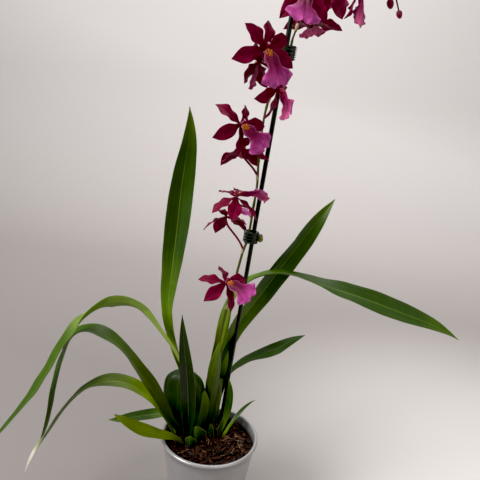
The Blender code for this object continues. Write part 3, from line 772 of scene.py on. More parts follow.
# The leaf that folds round the new spike: bright yellow-green low down, deep green farther out
LEAF_FOLDED = BladeFinish(
    "Waxy leaf, bright folded foot",
    roughness=0.5,
    ior=1.38,
    subsurface=0.05,
    upper=(
        (0.0, "#6C7A18"), (0.2, "#627A1C"), (0.34, "#54741A"), (0.5, "#304C06"), (0.85, "#2C4604"),
        (1.0, "#4E680C"),
    ),
    under=((0.0, "#7E8E2C"), (0.2, "#748C2C"), (0.36, "#5C7C20"), (1.0, "#3C5C0E")),
    rib="#7C9830",
)
# Leaves in the second row: less light reaches them, so their green is painted darker and duller as painted
# shade
LEAF_PAINTED_SHADE = BladeFinish(
    "Waxy leaf, green in painted shade",
    roughness=0.5,
    ior=1.36,
    upper=((0.0, "#3C5208"), (0.3, "#223A04"), (1.0, "#2A4406")),
    under=((0.0, "#4C6410"), (1.0, "#2E4A08")),
    rib="#52701C",
)
# The same leaf where its paler underside is turned to the viewer near its foot
LEAF_TURNED = BladeFinish(
    "Waxy leaf, pale underside",
    roughness=0.46,
    ior=1.38,
    subsurface=0.05,
    upper=((0.0, "#9AAC54"), (0.4, "#8CA24C"), (0.56, "#44620C"), (1.0, "#36540A")),
    under=((0.0, "#A2B45C"), (0.45, "#6A8A2C"), (0.62, "#42600E"), (1.0, "#3A560C")),
    rib="#9CB05A",
)
# An ageing leaf: yellow-green at its foot, dull green farther out and dry at its tip
LEAF_DRY_TIP = BladeFinish(
    "Waxy leaf, dry tip",
    roughness=0.46,
    ior=1.38,
    subsurface=0.05,
    upper=(
        (0.0, "#6E7E10"), (0.22, "#8CA40C"), (0.36, "#607820"), (0.5, "#42561A"), (0.8, "#44562A"),
        (0.86, "#8C9468"),
        (0.9, "#CFC8B4"), (1.0, "#D8D2C8"),
    ),
    under=(
        (0.0, "#86962C"), (0.4, "#647C28"), (0.8, "#4C6030"), (0.87, "#9C9C78"), (0.91, "#CFC8B4"),
        (1.0, "#D8D2C8"),
    ),
    rib="#8CA03A",
)
# Young leaf, still thin and yellow-green
LEAF_YOUNG = BladeFinish(
    "Waxy leaf, young yellow-green",
    roughness=0.4,
    subsurface=0.08,
    upper=((0.0, "#4E5C04"), (0.2, "#6A7A06"), (0.8, "#647404"), (1.0, "#70800C")),
    under=((0.0, "#6E7C10"), (1.0, "#74860F")),
    rib="#8A9A1C",
)
# Old leaf round the pseudobulb, almost black-green with a bright gloss; its pale midrib, fading to the tip,
# is partly the rib and partly a painted highlight of the gloss along its fold
LEAF_DARK = BladeFinish(
    "Waxy leaf, dark green",
    roughness=0.27,
    upper=((0.0, "#1E3004"), (0.5, "#182804"), (1.0, "#243A08")),
    under=((0.0, "#243804"), (1.0, "#223808")),
    # Pale midrib: partly the real rib, partly a painted highlight of the gloss along the fold
    rib="#7E8A66",
    rib_width=0.035,
    rib_strength=0.8,
    margin="#7A7E3C",
    margin_from=0.94,
    margin_strength=0.2,
)
# Scale leaves round the foot of the plant: short, fleshy and edged with a dry skin
LEAF_SCALE = BladeFinish(
    "Scale leaf, dry edge",
    roughness=0.38,
    upper=((0.0, "#1E2C06"), (0.6, "#30440C"), (1.0, "#44561A")),
    under=((0.0, "#243406"), (0.6, "#364C10"), (1.0, "#485A1C")),
    rib="#52701C",
    margin="#9CA070",
    margin_from=0.86,
    margin_strength=0.6,
)
# The broad base that clasps the new spike: dark low down, olive above, with long pale veins
LEAF_BASE = BladeFinish(
    "Leaf base, dark olive",
    roughness=0.42,
    upper=((0.0, "#26340A"), (1.0, "#4A5C10")),
    under=((0.0, "#1A2606"), (0.3, "#304008"), (0.6, "#4A5C0C"), (1.0, "#5C761A")),
    rib="#4C5C14",
    rib_strength=0.4,
    veins=44.0,
    vein_strength=0.36,
)
# The arching leaf nearest the bulb: olive yellow along its foot
LEAF_OLIVE = BladeFinish(
    "Waxy leaf, olive foot",
    roughness=0.47,
    ior=1.38,
    subsurface=0.05,
    upper=(
        (0.0, "#202C04"), (0.12, "#3E4C06"), (0.3, "#48580C"), (0.5, "#3E5C0C"), (0.7, "#304C08"),
        (1.0, "#33480E"),
    ),
    under=(
        (0.0, "#3A4806"), (0.14, "#586810"), (0.3, "#60761A"), (0.5, "#52701A"), (0.7, "#3C5A14"),
        (1.0, "#3A5214"),
    ),
    rib="#6E8A28",
)
# Petal tissue: velvety crimson, darker at the foot, with a thin paler margin
TEPAL = BladeFinish(
    "Petal, crimson velvet",
    roughness=0.6,
    ior=1.36,
    subsurface=0.06,
    grain_depth_mm=0.15,
    upper=((0.0, "#4A0016"), (0.25, "#680025"), (0.7, "#780030"), (1.0, "#680028")),
    under=((0.0, "#600022"), (1.0, "#7C0A36")),
    rib="#4C001A",
    rib_width=0.05,
    rib_strength=0.3,
    margin="#9C1250",
    margin_from=0.78,
    margin_strength=0.4,
    veins=12.0,
    vein_strength=0.2,
    blotch_mm=4.0,
    blotch_strength=0.2,
)
# Lip tissue: bright pink-purple, deeper in the throat and along its veins, paler at its frilled margin; its
# paler pink underside is painted light shining through the thin lip
LIP = BladeFinish(
    "Lip, pink-purple petal",
    roughness=0.55,
    ior=1.38,
    subsurface=0.08,
    grain_depth_mm=0.2,
    upper=(
        (0.0, "#B8602C"), (0.08, "#780A28"), (0.3, "#640430"), (0.48, "#700A3C"), (0.62, "#98246C"),
        (0.8, "#B44490"),
        (1.0, "#BC5098"),
    ),
    # The underside's paler pink is painted light shining through the lip
    under=((0.0, "#8C0C3E"), (0.5, "#A83468"), (1.0, "#CC6490")),
    rib="#740A44",
    rib_width=0.08,
    margin="#D070B4",
    margin_from=0.72,
    margin_strength=0.45,
    veins=12.0,
    vein_strength=0.26,
    blotch_mm=4.5,
    blotch_strength=0.22,
)
# The crest on the lip: warty yellow tissue with rust-red specks
CREST = SolidFinish(
    "Lip crest, orange yellow",
    roughness=0.4,
    subsurface=0.15,
    tones=((0.36, "#7A1C0C"), (0.5, "#C87410"), (0.7, "#E0982A")),
    tone_mm=1.2,
    grain_mm=0.6,
    grain_depth_mm=0.1,
)
# The column: waxy, blushed white to pink
COLUMN = SolidFinish(
    "Column, blushed wax",
    roughness=0.35,
    subsurface=0.2,
    tones=((0.2, "#7A0830"), (0.6, "#A83060"), (0.85, "#E4B4C4")),
    tone_mm=3.0,
    shade_share=0.85,
)
# Living stems: olive on the spike, flushed dark red on the stalks
STEM = SolidFinish(
    "Flower stem, olive flushed red",
    roughness=0.4,
    tones=((0.25, "#4C4E10"), (0.42, "#40380C"), (0.58, "#660C20"), (1.0, "#8A0634")),
    tone_mm=5.0,
    stretch=4.0,
    shade_share=0.7,
    grain_depth_mm=0.03,
)
# Papery bract, pale and dry
BRACT = BladeFinish(
    "Papery bract",
    roughness=0.6,
    upper=((0.0, "#8A7A40"), (0.5, "#C8BE9A"), (1.0, "#D8D0B8")),
    under=((0.0, "#8A7A40"), (1.0, "#D0C8AC")),
    rib="#9A8A50",
    veins=10.0,
)
# Pseudobulb: firm green flesh with long ribs and a soft gloss
BULB = SolidFinish(
    "Pseudobulb, ribbed green",
    roughness=0.44,
    tones=((0.3, "#182A04"), (0.5, "#223808"), (0.7, "#324C0A")),
    tone_mm=4.0,
    stretch=8.0,
    grain_mm=1.2,
    grain_depth_mm=0.15,
)
# Tight leaf bases round the new growth, olive with brown edges
GROWTH = SolidFinish(
    "Leaf bases, olive",
    roughness=0.38,
    tones=((0.3, "#2A2A08"), (0.45, "#38460A"), (0.7, "#5A6C14")),
    tone_mm=2.4,
    stretch=14.0,
    grain_mm=1.0,
    grain_depth_mm=0.12,
)
# Composted pine bark: the bed under the loose chips, near black to dark brown
BARK_BED = SolidFinish(
    "Pine bark, dark bed",
    roughness=0.85,
    tones=((0.3, "#0C0503"), (0.5, "#1C0E08"), (0.7, "#341C11")),
    tone_mm=2.5,
    grain_mm=1.5,
    grain_depth_mm=1.0,
)
# Loose bark chips, each of its own age and tone
BARK_CHIP = SolidFinish(
    "Pine bark, chips",
    roughness=0.75,
    tones=((0.1, "#140A06"), (0.45, "#2A160D"), (0.75, "#4E2D1C"), (1.0, "#A07048")),
    tone_mm=2.0,
    shade_share=0.7,
    grain_mm=0.9,
    grain_depth_mm=0.5,
)
# Coconut and moss fibres, pale straw
FIBRE = SolidFinish(
    "Moss fibre, straw", roughness=0.8, tones=((0.3, "#8A6A48"), (0.7, "#C8AC84")), tone_mm=3.0
)
# Moulded plastic sprayed silver: a satin metal look with a faint orange peel, dark grey on the inner wall
POT_SILVER = SolidFinish(
    "Moulded plastic, silver",
    roughness=0.3,
    metallic=0.4,
    coat=0.3,
    tones=((0.05, "#A8A6A7"), (0.2, "#B4B2B2"), (0.6, "#505052"), (1.0, "#3E3E40")),
    tone_mm=25.0,
    shade_share=0.8,
    grain_mm=2.5,
    grain_depth_mm=0.015,
)
# Plastic-coated stake, dark green with a satin moulded skin
STAKE_GREEN = SolidFinish(
    "Moulded plastic, stake green",
    roughness=0.35,
    tones=((0.3, "#070A05"), (0.7, "#10160A")),
    tone_mm=6.0,
    stretch=6.0,
    grain_mm=0.8,
    grain_depth_mm=0.03,
)
# Claw clips in clear dark-green plastic: olive on the thumb tabs, grey-green on the jaws, near black on the
# tines
CLIP_CLEAR = SolidFinish(
    "Clear plastic, olive green",
    roughness=0.18,
    ior=1.49,
    transmission=0.25,
    tones=((0.2, "#060A05"), (0.45, "#343E30"), (0.75, "#5C6010"), (1.0, "#767A14")),
    tone_mm=5.0,
    shade_share=0.75,
    grain_depth_mm=0.01,
)
# Matt seamless paper behind and under the plant, with painted light: darker to the front and left, and a
# painted pool of light on the floor
PAPER = PaperFinish("Seamless paper, painted light fall-off", roughness=0.9, grain_mm=2.0, grain_depth_mm=0.02)


def in_scene(name: str, data: bpy.types.ID) -> bpy.types.Object:
    """Makes an object that holds the data, and adds it to the scene.

    Args:
        name: The object's name.
        data: Its mesh, camera or light.

    Returns:
        The object.
    """
    made = bpy.data.objects.new(name, data)
    bpy.context.scene.collection.objects.link(made)
    return made


def add_piece(
    name: str, shape: Shape, finish: Finish, body: Body = Body.PLANT,
    replaces: Sequence[str] = ()
) -> bpy.types.Object:
    """Turns a shape into a mesh piece that rides on a body.

    Args:
        name: The piece's name.
        shape: Its surface, in millimetres.
        finish: What it is made of.
        body: The body that carries it.
        replaces: The model's nodes that it stands for.

    Returns:
        The piece.
    """
    mesh = bpy.data.meshes.new(name)
    corners = np.concatenate([shape.quads.ravel(), shape.triangles.ravel()]).astype(np.int32)
    sizes = np.concatenate([np.full(len(shape.quads), 4), np.full(len(shape.triangles), 3)])
    mesh.vertices.add(len(shape.points))
    mesh.vertices.foreach_set("co", (shape.points * MM).astype(np.float32).ravel())
    mesh.loops.add(len(corners))
    mesh.loops.foreach_set("vertex_index", corners)
    mesh.polygons.add(len(sizes))
    mesh.polygons.foreach_set("loop_start", np.concatenate([[0], np.cumsum(sizes)[:-1]]).astype(np.int32))
    mesh.update(calc_edges=True)
    layer = mesh.uv_layers.new(name=UV_NAME)
    layer.data.foreach_set("uv", shape.uv[corners].astype(np.float32).ravel())
    for value_name, values in shape.values.items():
        attribute = mesh.attributes.new(value_name, "FLOAT", "POINT")
        attribute.data.foreach_set("value", values.astype(np.float32))
    return dressed(in_scene(name, mesh), finish, body, replaces)


def dressed(
    piece: bpy.types.Object, finish: Finish, body: Body = Body.PLANT,
    replaces: Sequence[str] = ()
) -> bpy.types.Object:
    """Points a piece's faces outwards, shades it smooth and gives it its finish, body and nodes.

    Args:
        piece: The piece.
        finish: What it is made of.
        body: The body that carries it.
        replaces: The model's nodes that it stands for.

    Returns:
        The same piece.
    """
    mesh = piece.data
    bm = bmesh.new()
    bm.from_mesh(mesh)
    bmesh.ops.recalc_face_normals(bm, faces=bm.faces)
    bm.to_mesh(mesh)
    bm.free()
    mesh.shade_smooth()
    mesh.set_sharp_from_angle(angle=math.radians(SHARP_FOLD))
    mesh.materials.clear()
    mesh.materials.append(finish.material())
    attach(piece, body.value)
    if replaces:
        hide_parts(*replaces)
    LOG.info("%s: %d faces, %s", piece.name, len(mesh.polygons), finish.name)
    return piece


@dataclass(frozen=True)
class Pot:
    """The common 12 cm round pot: turned wall, rolled rim, foot ring and drain holes."""

    height: float = 105.0
    rim_diameter: float = 120.0
    rim_roll: float = 2.3
    base_diameter: float = 86.0
    wall: float = 1.5
    foot_width: float = 3.5
    foot_recess: float = 1.6
    floor_thickness: float = 1.8
    drain_holes: int = 5
    drain_diameter: float = 8.0
    drain_ring: float = 26.0
    drill_length: float = 16.0
    drill_middle: float = 2.0
    drill_sides: int = 28
    sides: int = 120

    def wall_radius(self, height: float | Array) -> float | Array:
        """Outer radius of the straight wall at a height."""
        low, high = self.base_diameter / 2, self.rim_diameter / 2 - self.rim_roll
        return low + (high - low) * height / self.height

    def profile(self) -> Array:
        """The wall's profile as (radius, height) points, from the axis inside round to the axis below.

        Returns:
            The points, one a row.
        """
        floor = self.foot_recess + self.floor_thickness
        roll_radius, roll_height = self.rim_diameter / 2 - self.rim_roll, self.height - self.rim_roll
        inner_top = roll_height - self.rim_roll
        foot = self.base_diameter / 2 - 1
        turns = np.radians(np.linspace(170, -60, 18))
        roll = [
            (roll_radius + self.rim_roll * math.cos(t), roll_height + self.rim_roll * math.sin(t))
            for t in turns
        ]
        points = [(0, floor), (10, floor), (self.wall_radius(floor) - self.wall - 2, floor)]
        points += [
            (self.wall_radius(floor) - self.wall - 0.5, floor + 0.4),
            (self.wall_radius(floor + 2) - self.wall, floor + 2),
        ]
        points += [(self.wall_radius(level) - self.wall, level) for level in np.linspace(12, inner_top, 8)]
        points += roll
        points += [(self.wall_radius(level), level) for level in np.linspace(inner_top - 1.2, 2.5, 10)]
        points += [
            (self.wall_radius(1.2) - 0.2, 1.2), (foot + 0.2, 0.3), (foot, 0), (foot - self.foot_width, 0)
        ]
        points += [
            (foot - self.foot_width - 0.6, self.foot_recess), (10, self.foot_recess), (0, self.foot_recess)
        ]
        return np.array(points, float)

    def build(self) -> None:
        """Builds the pot and cuts its drain holes."""
        shape = turned(self.profile(), self.sides)
        radius, height = np.hypot(shape.points[:, 0], shape.points[:, 1]), shape.points[:, 2]
        # The inner wall below the rim takes the dark grey end of the ramp, so the pot is darker inside
        inside = (radius < self.wall_radius(height) - self.wall / 2) & (height > self.foot_recess + 0.5)
        shape.values[SHADE] = np.where(inside & (height < self.height - 5), 1.0, 0.0)
        pot = add_piece("flower_pot", shape, POT_SILVER, replaces=["pot"])
        cutters = bpy.data.collections.new("drain_cutters")
        bpy.context.scene.collection.children.link(cutters)
        for number in range(self.drain_holes):
            turn = 2 * math.pi * number / self.drain_holes
            bm = bmesh.new()
            bmesh.ops.create_cone(
                bm, cap_ends=True, segments=self.drill_sides, radius1=self.drain_diameter / 2 * MM,
                radius2=self.drain_diameter / 2 * MM, depth=self.drill_length * MM,
            )
            place = Vector(
                (self.drain_ring * math.cos(turn), self.drain_ring * math.sin(turn), self.drill_middle)
            ) * MM
            bmesh.ops.translate(bm, vec=place, verts=bm.verts)
            mesh = bpy.data.meshes.new("drain")
            bm.to_mesh(mesh)
            bm.free()
            cutters.objects.link(bpy.data.objects.new("drain", mesh))
        cut = pot.modifiers.new("Drain holes", "BOOLEAN")
        cut.operation = "DIFFERENCE"
        cut.operand_type = "COLLECTION"
        cut.collection = cutters
        bpy.context.view_layer.update()
        graph = bpy.context.evaluated_depsgraph_get()
        cut_mesh = bpy.data.meshes.new_from_object(pot.evaluated_get(graph))
        pot.modifiers.clear()
        pot.data = cut_mesh
        for cutter in list(cutters.objects):
            bpy.data.objects.remove(cutter, do_unlink=True)
        bpy.data.collections.remove(cutters)


@dataclass(frozen=True)
class BarkMix:
    """The bark mix: a rough bed with loose chips and fibres on it."""

    pot: Pot
    level: float = 93.0
    relief: float = 1.6
    calm_radius: float = 46.0
    clump: tuple[float, float] = (-22.0, 26.0)
    chips: int = 620
    chip_length: tuple[float, float] = (3.5, 9.0)
    chip_width: tuple[float, float] = (1.4, 3.2)
    chip_height: tuple[float, float] = (0.9, 1.9)
    large_every: int = 9
    large_by: float = 1.6
    pale_every: int = 11
    fibres: int = 26
    fibre_length: tuple[float, float] = (7.0, 18.0)
    fibre_radius: float = 0.22
    gap: float = 0.4

    def reach(self) -> float:
        """Radius of the bed at its top."""
        return self.pot.wall_radius(self.level) - self.pot.wall - 2 * self.gap

    def lift(self, x: Array, y: Array) -> Array:
        """Height of the bed's slow bumps: three crossed waves, calm round the clump of stems.

        Args:
            x: Places across the bed.
            y: Places in depth.

        Returns:
            The height at each place.
        """
        waves = np.sin(0.43 * x + 0.9) * np.cos(0.37 * y) + 0.6 * np.sin(0.71 * y - 0.3 * x)
        waves += 0.5 * np.cos(0.93 * x + 0.55 * y)
        away = np.hypot(x - self.clump[0], y - self.clump[1])
        return self.relief * waves * 0.5 * np.clip((away - self.calm_radius) / 10, 0, 1)

    def bed(self) -> Shape:
        """The plug of bark: a turned solid whose top is roughened by crossed short waves.

        Returns:
            The bed.
        """
        low = self.pot.foot_recess + self.pot.floor_thickness + self.gap
        reach = self.reach()
        rings = np.linspace(0, reach, 34)
        profile = [(radius, self.level) for radius in rings]
        profile += [(self.pot.wall_radius(low) - self.pot.wall - 2 * self.gap, low), (0, low)]
        shape = turned(np.array(profile), 110)
        x, y, z = shape.points.T
        top = (z > self.level - 1) & (np.hypot(x, y) < reach - 0.5)
        rough = 0.5 * np.sin(1.3 * x + 2.1 * np.sin(0.9 * y)) * np.sin(1.1 * y + 1.7 * np.sin(0.8 * x))
        rough += 0.3 * np.sin(2.7 * x - 1.9 * y) * np.cos(2.3 * y + 1.1 * x)
        shape.points[:, 2] += np.where(top, self.lift(x, y) + rough, 0)
        return shape

    def chip(
        self, centre: Array, size: Array, turn: Array, draw: np.random.Generator, shade: float
    ) -> Shape:
        """One chip: a coarse ball pressed towards a box, jittered, then turned and placed.

        Args:
            centre: Where it lies.
            size: Its length, width and height.
            turn: Its turns about X, Y and Z.
            draw: The source of its jitter.
            shade: Its shade value.

        Returns:
            The chip.
        """
        ball = egg((0, 0, 0), (1, 1, 1), np.eye(3), sides=6, rings=3)
        points = np.sign(ball.points) * np.abs(ball.points) ** 0.55 * size / 2
        points *= 1 + draw.uniform(-0.18, 0.18, points.shape)
        tilt = Matrix.Rotation(
            turn[2], 3, "Z"
        ) @ Matrix.Rotation(turn[0], 3, "X") @ Matrix.Rotation(turn[1], 3, "Y")
        ball.points = points @ np.array(tilt).T + centre
        return ball.shaded(shade)

    def loose_chips(self) -> Shape:
        """Chips strewn evenly over the bed; a few are large or pale.

        Returns:
            All the chips in one shape.
        """
        draw = np.random.default_rng(41)
        shapes = []
        for number in range(self.chips):
            turn, radius = draw.uniform(0, 2 * math.pi), (
                self.reach() - 3.5
            ) * math.sqrt(draw.uniform(0, 1))
            x, y = radius * math.cos(turn), radius * math.sin(turn)
            large = 1.0 if number % self.large_every else self.large_by
            sides = [
                draw.uniform(*limits) for limits in (self.chip_length, self.chip_width, self.chip_height)
            ]
            size = np.array(sides) * large
            tilt = np.array([draw.uniform(-0.7, 0.7), draw.uniform(-0.5, 0.5), draw.uniform(0, math.pi)])
            height = self.level + float(self.lift(np.array(x), np.array(y))) + draw.uniform(-0.2, 2.2)
            shade = draw.uniform(0, 0.75) if number % self.pale_every else draw.uniform(0.8, 1)
            shapes.append(self.chip(np.array([x, y, height]), size, tilt, draw, shade))
        return Shape.joined(shapes)

    def loose_fibres(self) -> Shape:
        """Thin curved fibres that lie across the chips.

        Returns:
            All the fibres in one shape.
        """
        draw = np.random.default_rng(7)
        shapes = []
        for _ in range(self.fibres):
            turn, radius = draw.uniform(0, 2 * math.pi), (self.reach() - 10) * math.sqrt(draw.uniform(0, 1))
            heading, bend, length = draw.uniform(0, 2 * math.pi), draw.uniform(-1.2, 1.2), draw.uniform(
                *self.fibre_length
            )
            step = np.linspace(0, 1, 9)
            headings = heading + bend * step
            x = radius * math.cos(turn) + np.cumsum(np.cos(headings)) * length / 9
            y = radius * math.sin(turn) + np.cumsum(np.sin(headings)) * length / 9
            z = self.level + self.lift(x, y) + 1.8 + 1.2 * np.sin(np.pi * step) * draw.uniform(0, 1.2)
            inside = np.hypot(x, y) < self.reach() - 1
            route = np.stack([x, y, z], axis=1)[inside]
            if len(route) > 3:
                shapes.append(swept(route, np.full(len(route), self.fibre_radius), 5))
        return Shape.joined(shapes)

    def build(self) -> None:
        """Builds the bed, the chips and the fibres."""
        add_piece("bark_bed", self.bed(), BARK_BED, replaces=["bark_mix"])
        add_piece("bark_chips", self.loose_chips(), BARK_CHIP)
        add_piece("moss_fibres", self.loose_fibres(), FIBRE)


@dataclass(frozen=True)
class Stems:
    """The pseudobulb and the young growth beside it."""

    rooted_to: float = 82.0
    bulb_foot: tuple[float, float] = (-28.5, 21.0)
    bulb_top: tuple[float, float, float] = (-39.0, 17.5, 178.0)
    bulb_half_width: float = 26.0
    bulb_flatness: float = 0.42
    growth_foot: tuple[float, float] = (-3.0, 27.0)
    growth_crown: tuple[float, float] = (0.5, 28.0)
    growth_top: float = 167.0
    growth_half_width: float = 11.2
    growth_half_depth: float = 5.6

    def bulb(self) -> Shape:
        """The pseudobulb: a turned ovate shape, flattened and leaning, with eight soft ribs and finer folds
        that fade towards both ends.

        Returns:
            The pseudobulb.
        """
        top = self.bulb_top[2]
        shape = ((0.34, 0), (0.62, 4), (0.84, 11), (0.97, 25), (1, 42), (0.9, 58), (0.7, 73), (0.6, 84))
        outline = smooth_line([(share, down) for share, down in shape] + [(0.54, top - self.rooted_to)], 8)
        profile = np.vstack(
            [[0, top], np.stack([outline[:, 0], top - outline[:, 1]], axis=1), [0, self.rooted_to]]
        )
        made = turned(profile, 96)
        x, y, z = made.points.T
        climb = (z - self.rooted_to) / (top - self.rooted_to)
        turn = np.arctan2(y, x)
        folds = 1 + 0.03 * np.cos(8 * turn) + 0.012 * np.cos(23 * turn + 4 * climb) * np.sin(np.pi * climb)
        crown = np.array(self.bulb_top[:2])
        foot = np.array(self.bulb_foot)
        middle = foot + (crown - foot) * climb[:, None]
        made.points[:, 0] = x * self.bulb_half_width * folds + middle[:, 0]
        made.points[:, 1] = y * self.bulb_half_width * folds * (
            self.bulb_flatness + 0.2 * climb**3
        ) + middle[:, 1]
        return made

    def growth(self) -> Shape:
        """The growth: an oval stem whose radius steps where one leaf base laps over the next.

        Returns:
            The growth.
        """
        shape = ((0.6, 0), (0.82, 0.8), (0.97, 3), (1, 12), (0.95, 34), (0.87, 60), (0.85, 85))
        outline = smooth_line([(share, down) for share, down in shape], 10)
        heights = self.growth_top - outline[:, 1]
        profile = np.vstack(
            [[0, self.growth_top], np.stack([outline[:, 0], heights], axis=1), [0, self.rooted_to]]
        )
        made = turned(profile, 80)
        x, y, z = made.points.T
        climb = (z - self.rooted_to) / (self.growth_top - self.rooted_to)
        turn = np.arctan2(y, x) / (2 * np.pi)
        lap = np.mod(turn * 2 + climb * 1.4, 1)
        lapped = 1 + 0.1 * (lap - 0.5) + 0.02 * np.cos(2 * np.pi * turn * 17)
        foot, crown = np.array(self.growth_foot), np.array(self.growth_crown)
        middle = foot + (crown - foot) * climb[:, None]
        made.points[:, 0] = x * self.growth_half_width * lapped + middle[:, 0]
        made.points[:, 1] = y * self.growth_half_depth * lapped + middle[:, 1]
        return made

    def build(self) -> None:
        """Builds both stems."""
        add_piece("ribbed_bulb", self.bulb(), BULB, replaces=["pseudobulb"])
        add_piece("lapped_growth", self.growth(), GROWTH, replaces=["growth_stem"])


@dataclass(frozen=True)
class Leaf:
    """One leaf: rise, heading and roll are its angles at even steps from its base to its tip.

    Rise is above level, heading is the way it grows (0 is +X and 90 is +Y), and roll turns the blade about
    its midrib. Clasp is how far the base folds up round the midrib, over a part of the length.
    """

    name: str
    base: tuple[float, float, float]
    length: float
    width: float
    rise: tuple[float, ...]
    heading: tuple[float, ...]
    roll: tuple[float, ...]
    widest: float = 0.5
    foot: float = 0.35
    clasp: float = 60.0
    clasped: float = 0.35
    fold: float = 18.0
    taper: float = 2.5
    finish: BladeFinish = LEAF_DEEP
    slot: Slot = Slot.LEAF
    rooted: float = 3.0
    wave: float = 0.5
    stands_for_node: bool = True
    thickness: float = 0.85
    wave_mm: float = 41.0
    row_mm: float = 3.5
    row_limits: tuple[int, int] = (14, 110)
    columns: int = 17

    def axes(self, along: Array) -> tuple[Array, Array, Array]:
        """Forward, side and upper-face directions, from the rise, heading and roll at each place.

        Args:
            along: Places from 0 at the foot to 1 at the tip.

        Returns:
            The three directions at each place.
        """
        rise, heading, roll = (
            np.radians(knots_at(knots, along)) for knots in (self.rise, self.heading, self.roll)
        )
        forward = np.stack(
            [np.cos(rise) * np.cos(heading), np.cos(rise) * np.sin(heading), np.sin(rise)], axis=-1
        )
        side = np.stack([-np.sin(heading), np.cos(heading), np.zeros_like(rise)], axis=-1)
        face = np.cross(forward, side)
        turn_cos, turn_sin = np.cos(roll)[..., None], np.sin(roll)[..., None]
        return forward, turn_cos * side + turn_sin * face, turn_cos * face - turn_sin * side

    def half_width(self, along: Array) -> Array:
        """Half width: a sine rise from the foot to the widest place, then a power taper to the tip.

        Args:
            along: Places from 0 at the foot to 1 at the tip.

        Returns:
            The half width at each place.
        """
        growing = self.foot + (1 - self.foot) * np.sin(np.pi / 2 * np.clip(along / self.widest, 0, 1)) ** 2
        shrinking = 1 - np.clip((along - self.widest) / (1 - self.widest), 0, 1) ** self.taper
        return np.maximum(np.where(along < self.widest, growing, shrinking), 0.03) * self.width / 2

    def midrib(self, along: Array) -> Array:
        """Points of the midrib: the sum of small steps forward, and straight back below the foot.

        Args:
            along: Places from 0 at the foot to 1 at the tip; below 0 is under the foot.

        Returns:
            The point at each place.
        """
        fine = 240
        middles = (np.arange(fine) + 0.5) / fine
        steps = self.axes(middles)[0] * self.length / fine
        line = np.array(self.base, float) + np.vstack([np.zeros(3), np.cumsum(steps, axis=0)])
        places = np.linspace(0, 1, fine + 1)
        found = line_at(along, places, line)
        return found + self.axes(np.zeros_like(along))[0] * (np.minimum(along, 0) * self.length)[..., None]

    def shape(self) -> Shape:
        """The blade: both halves fold up from the midrib, and a low wave runs along each margin.

        Returns:
            The blade.
        """
        rows = int(np.clip(self.length / self.row_mm, *self.row_limits))
        along, across = blade_grid(
            np.concatenate([[-self.rooted / self.length], np.linspace(0, 1, rows)]), self.columns
        )
        on_blade = np.clip(along, 0, 1)
        _, side, face = self.axes(on_blade)
        closing = np.clip(1 - on_blade / self.clasped, 0, 1) ** 1.5
        fold = np.radians(self.fold + (self.clasp - self.fold) * closing)
        half = self.half_width(on_blade)
        out = across * half * np.cos(fold)
        up = (np.sqrt(across**2 + 0.003) - 0.05) * half * np.sin(fold)
        ripple = np.sin(
            2 * np.pi * on_blade * self.length / self.wave_mm + self.length + 1.3 * np.sign(across)
        )
        up += self.wave * ripple * across**4 * np.sin(np.pi * on_blade)
        middle = self.midrib(along) + side * out[..., None] + face * up[..., None]
        thickness = self.thickness * (1 - 0.55 * across**2) * (1 - 0.4 * on_blade**8)
        return shell(middle, thickness, blade_uv(on_blade, across))

    def build(self) -> None:
        """Builds the leaf in place of its node."""
        replaced = [self.name] if self.stands_for_node else []
        add_piece(f"{self.name}_blade", self.shape(), self.finish, replaces=replaced)


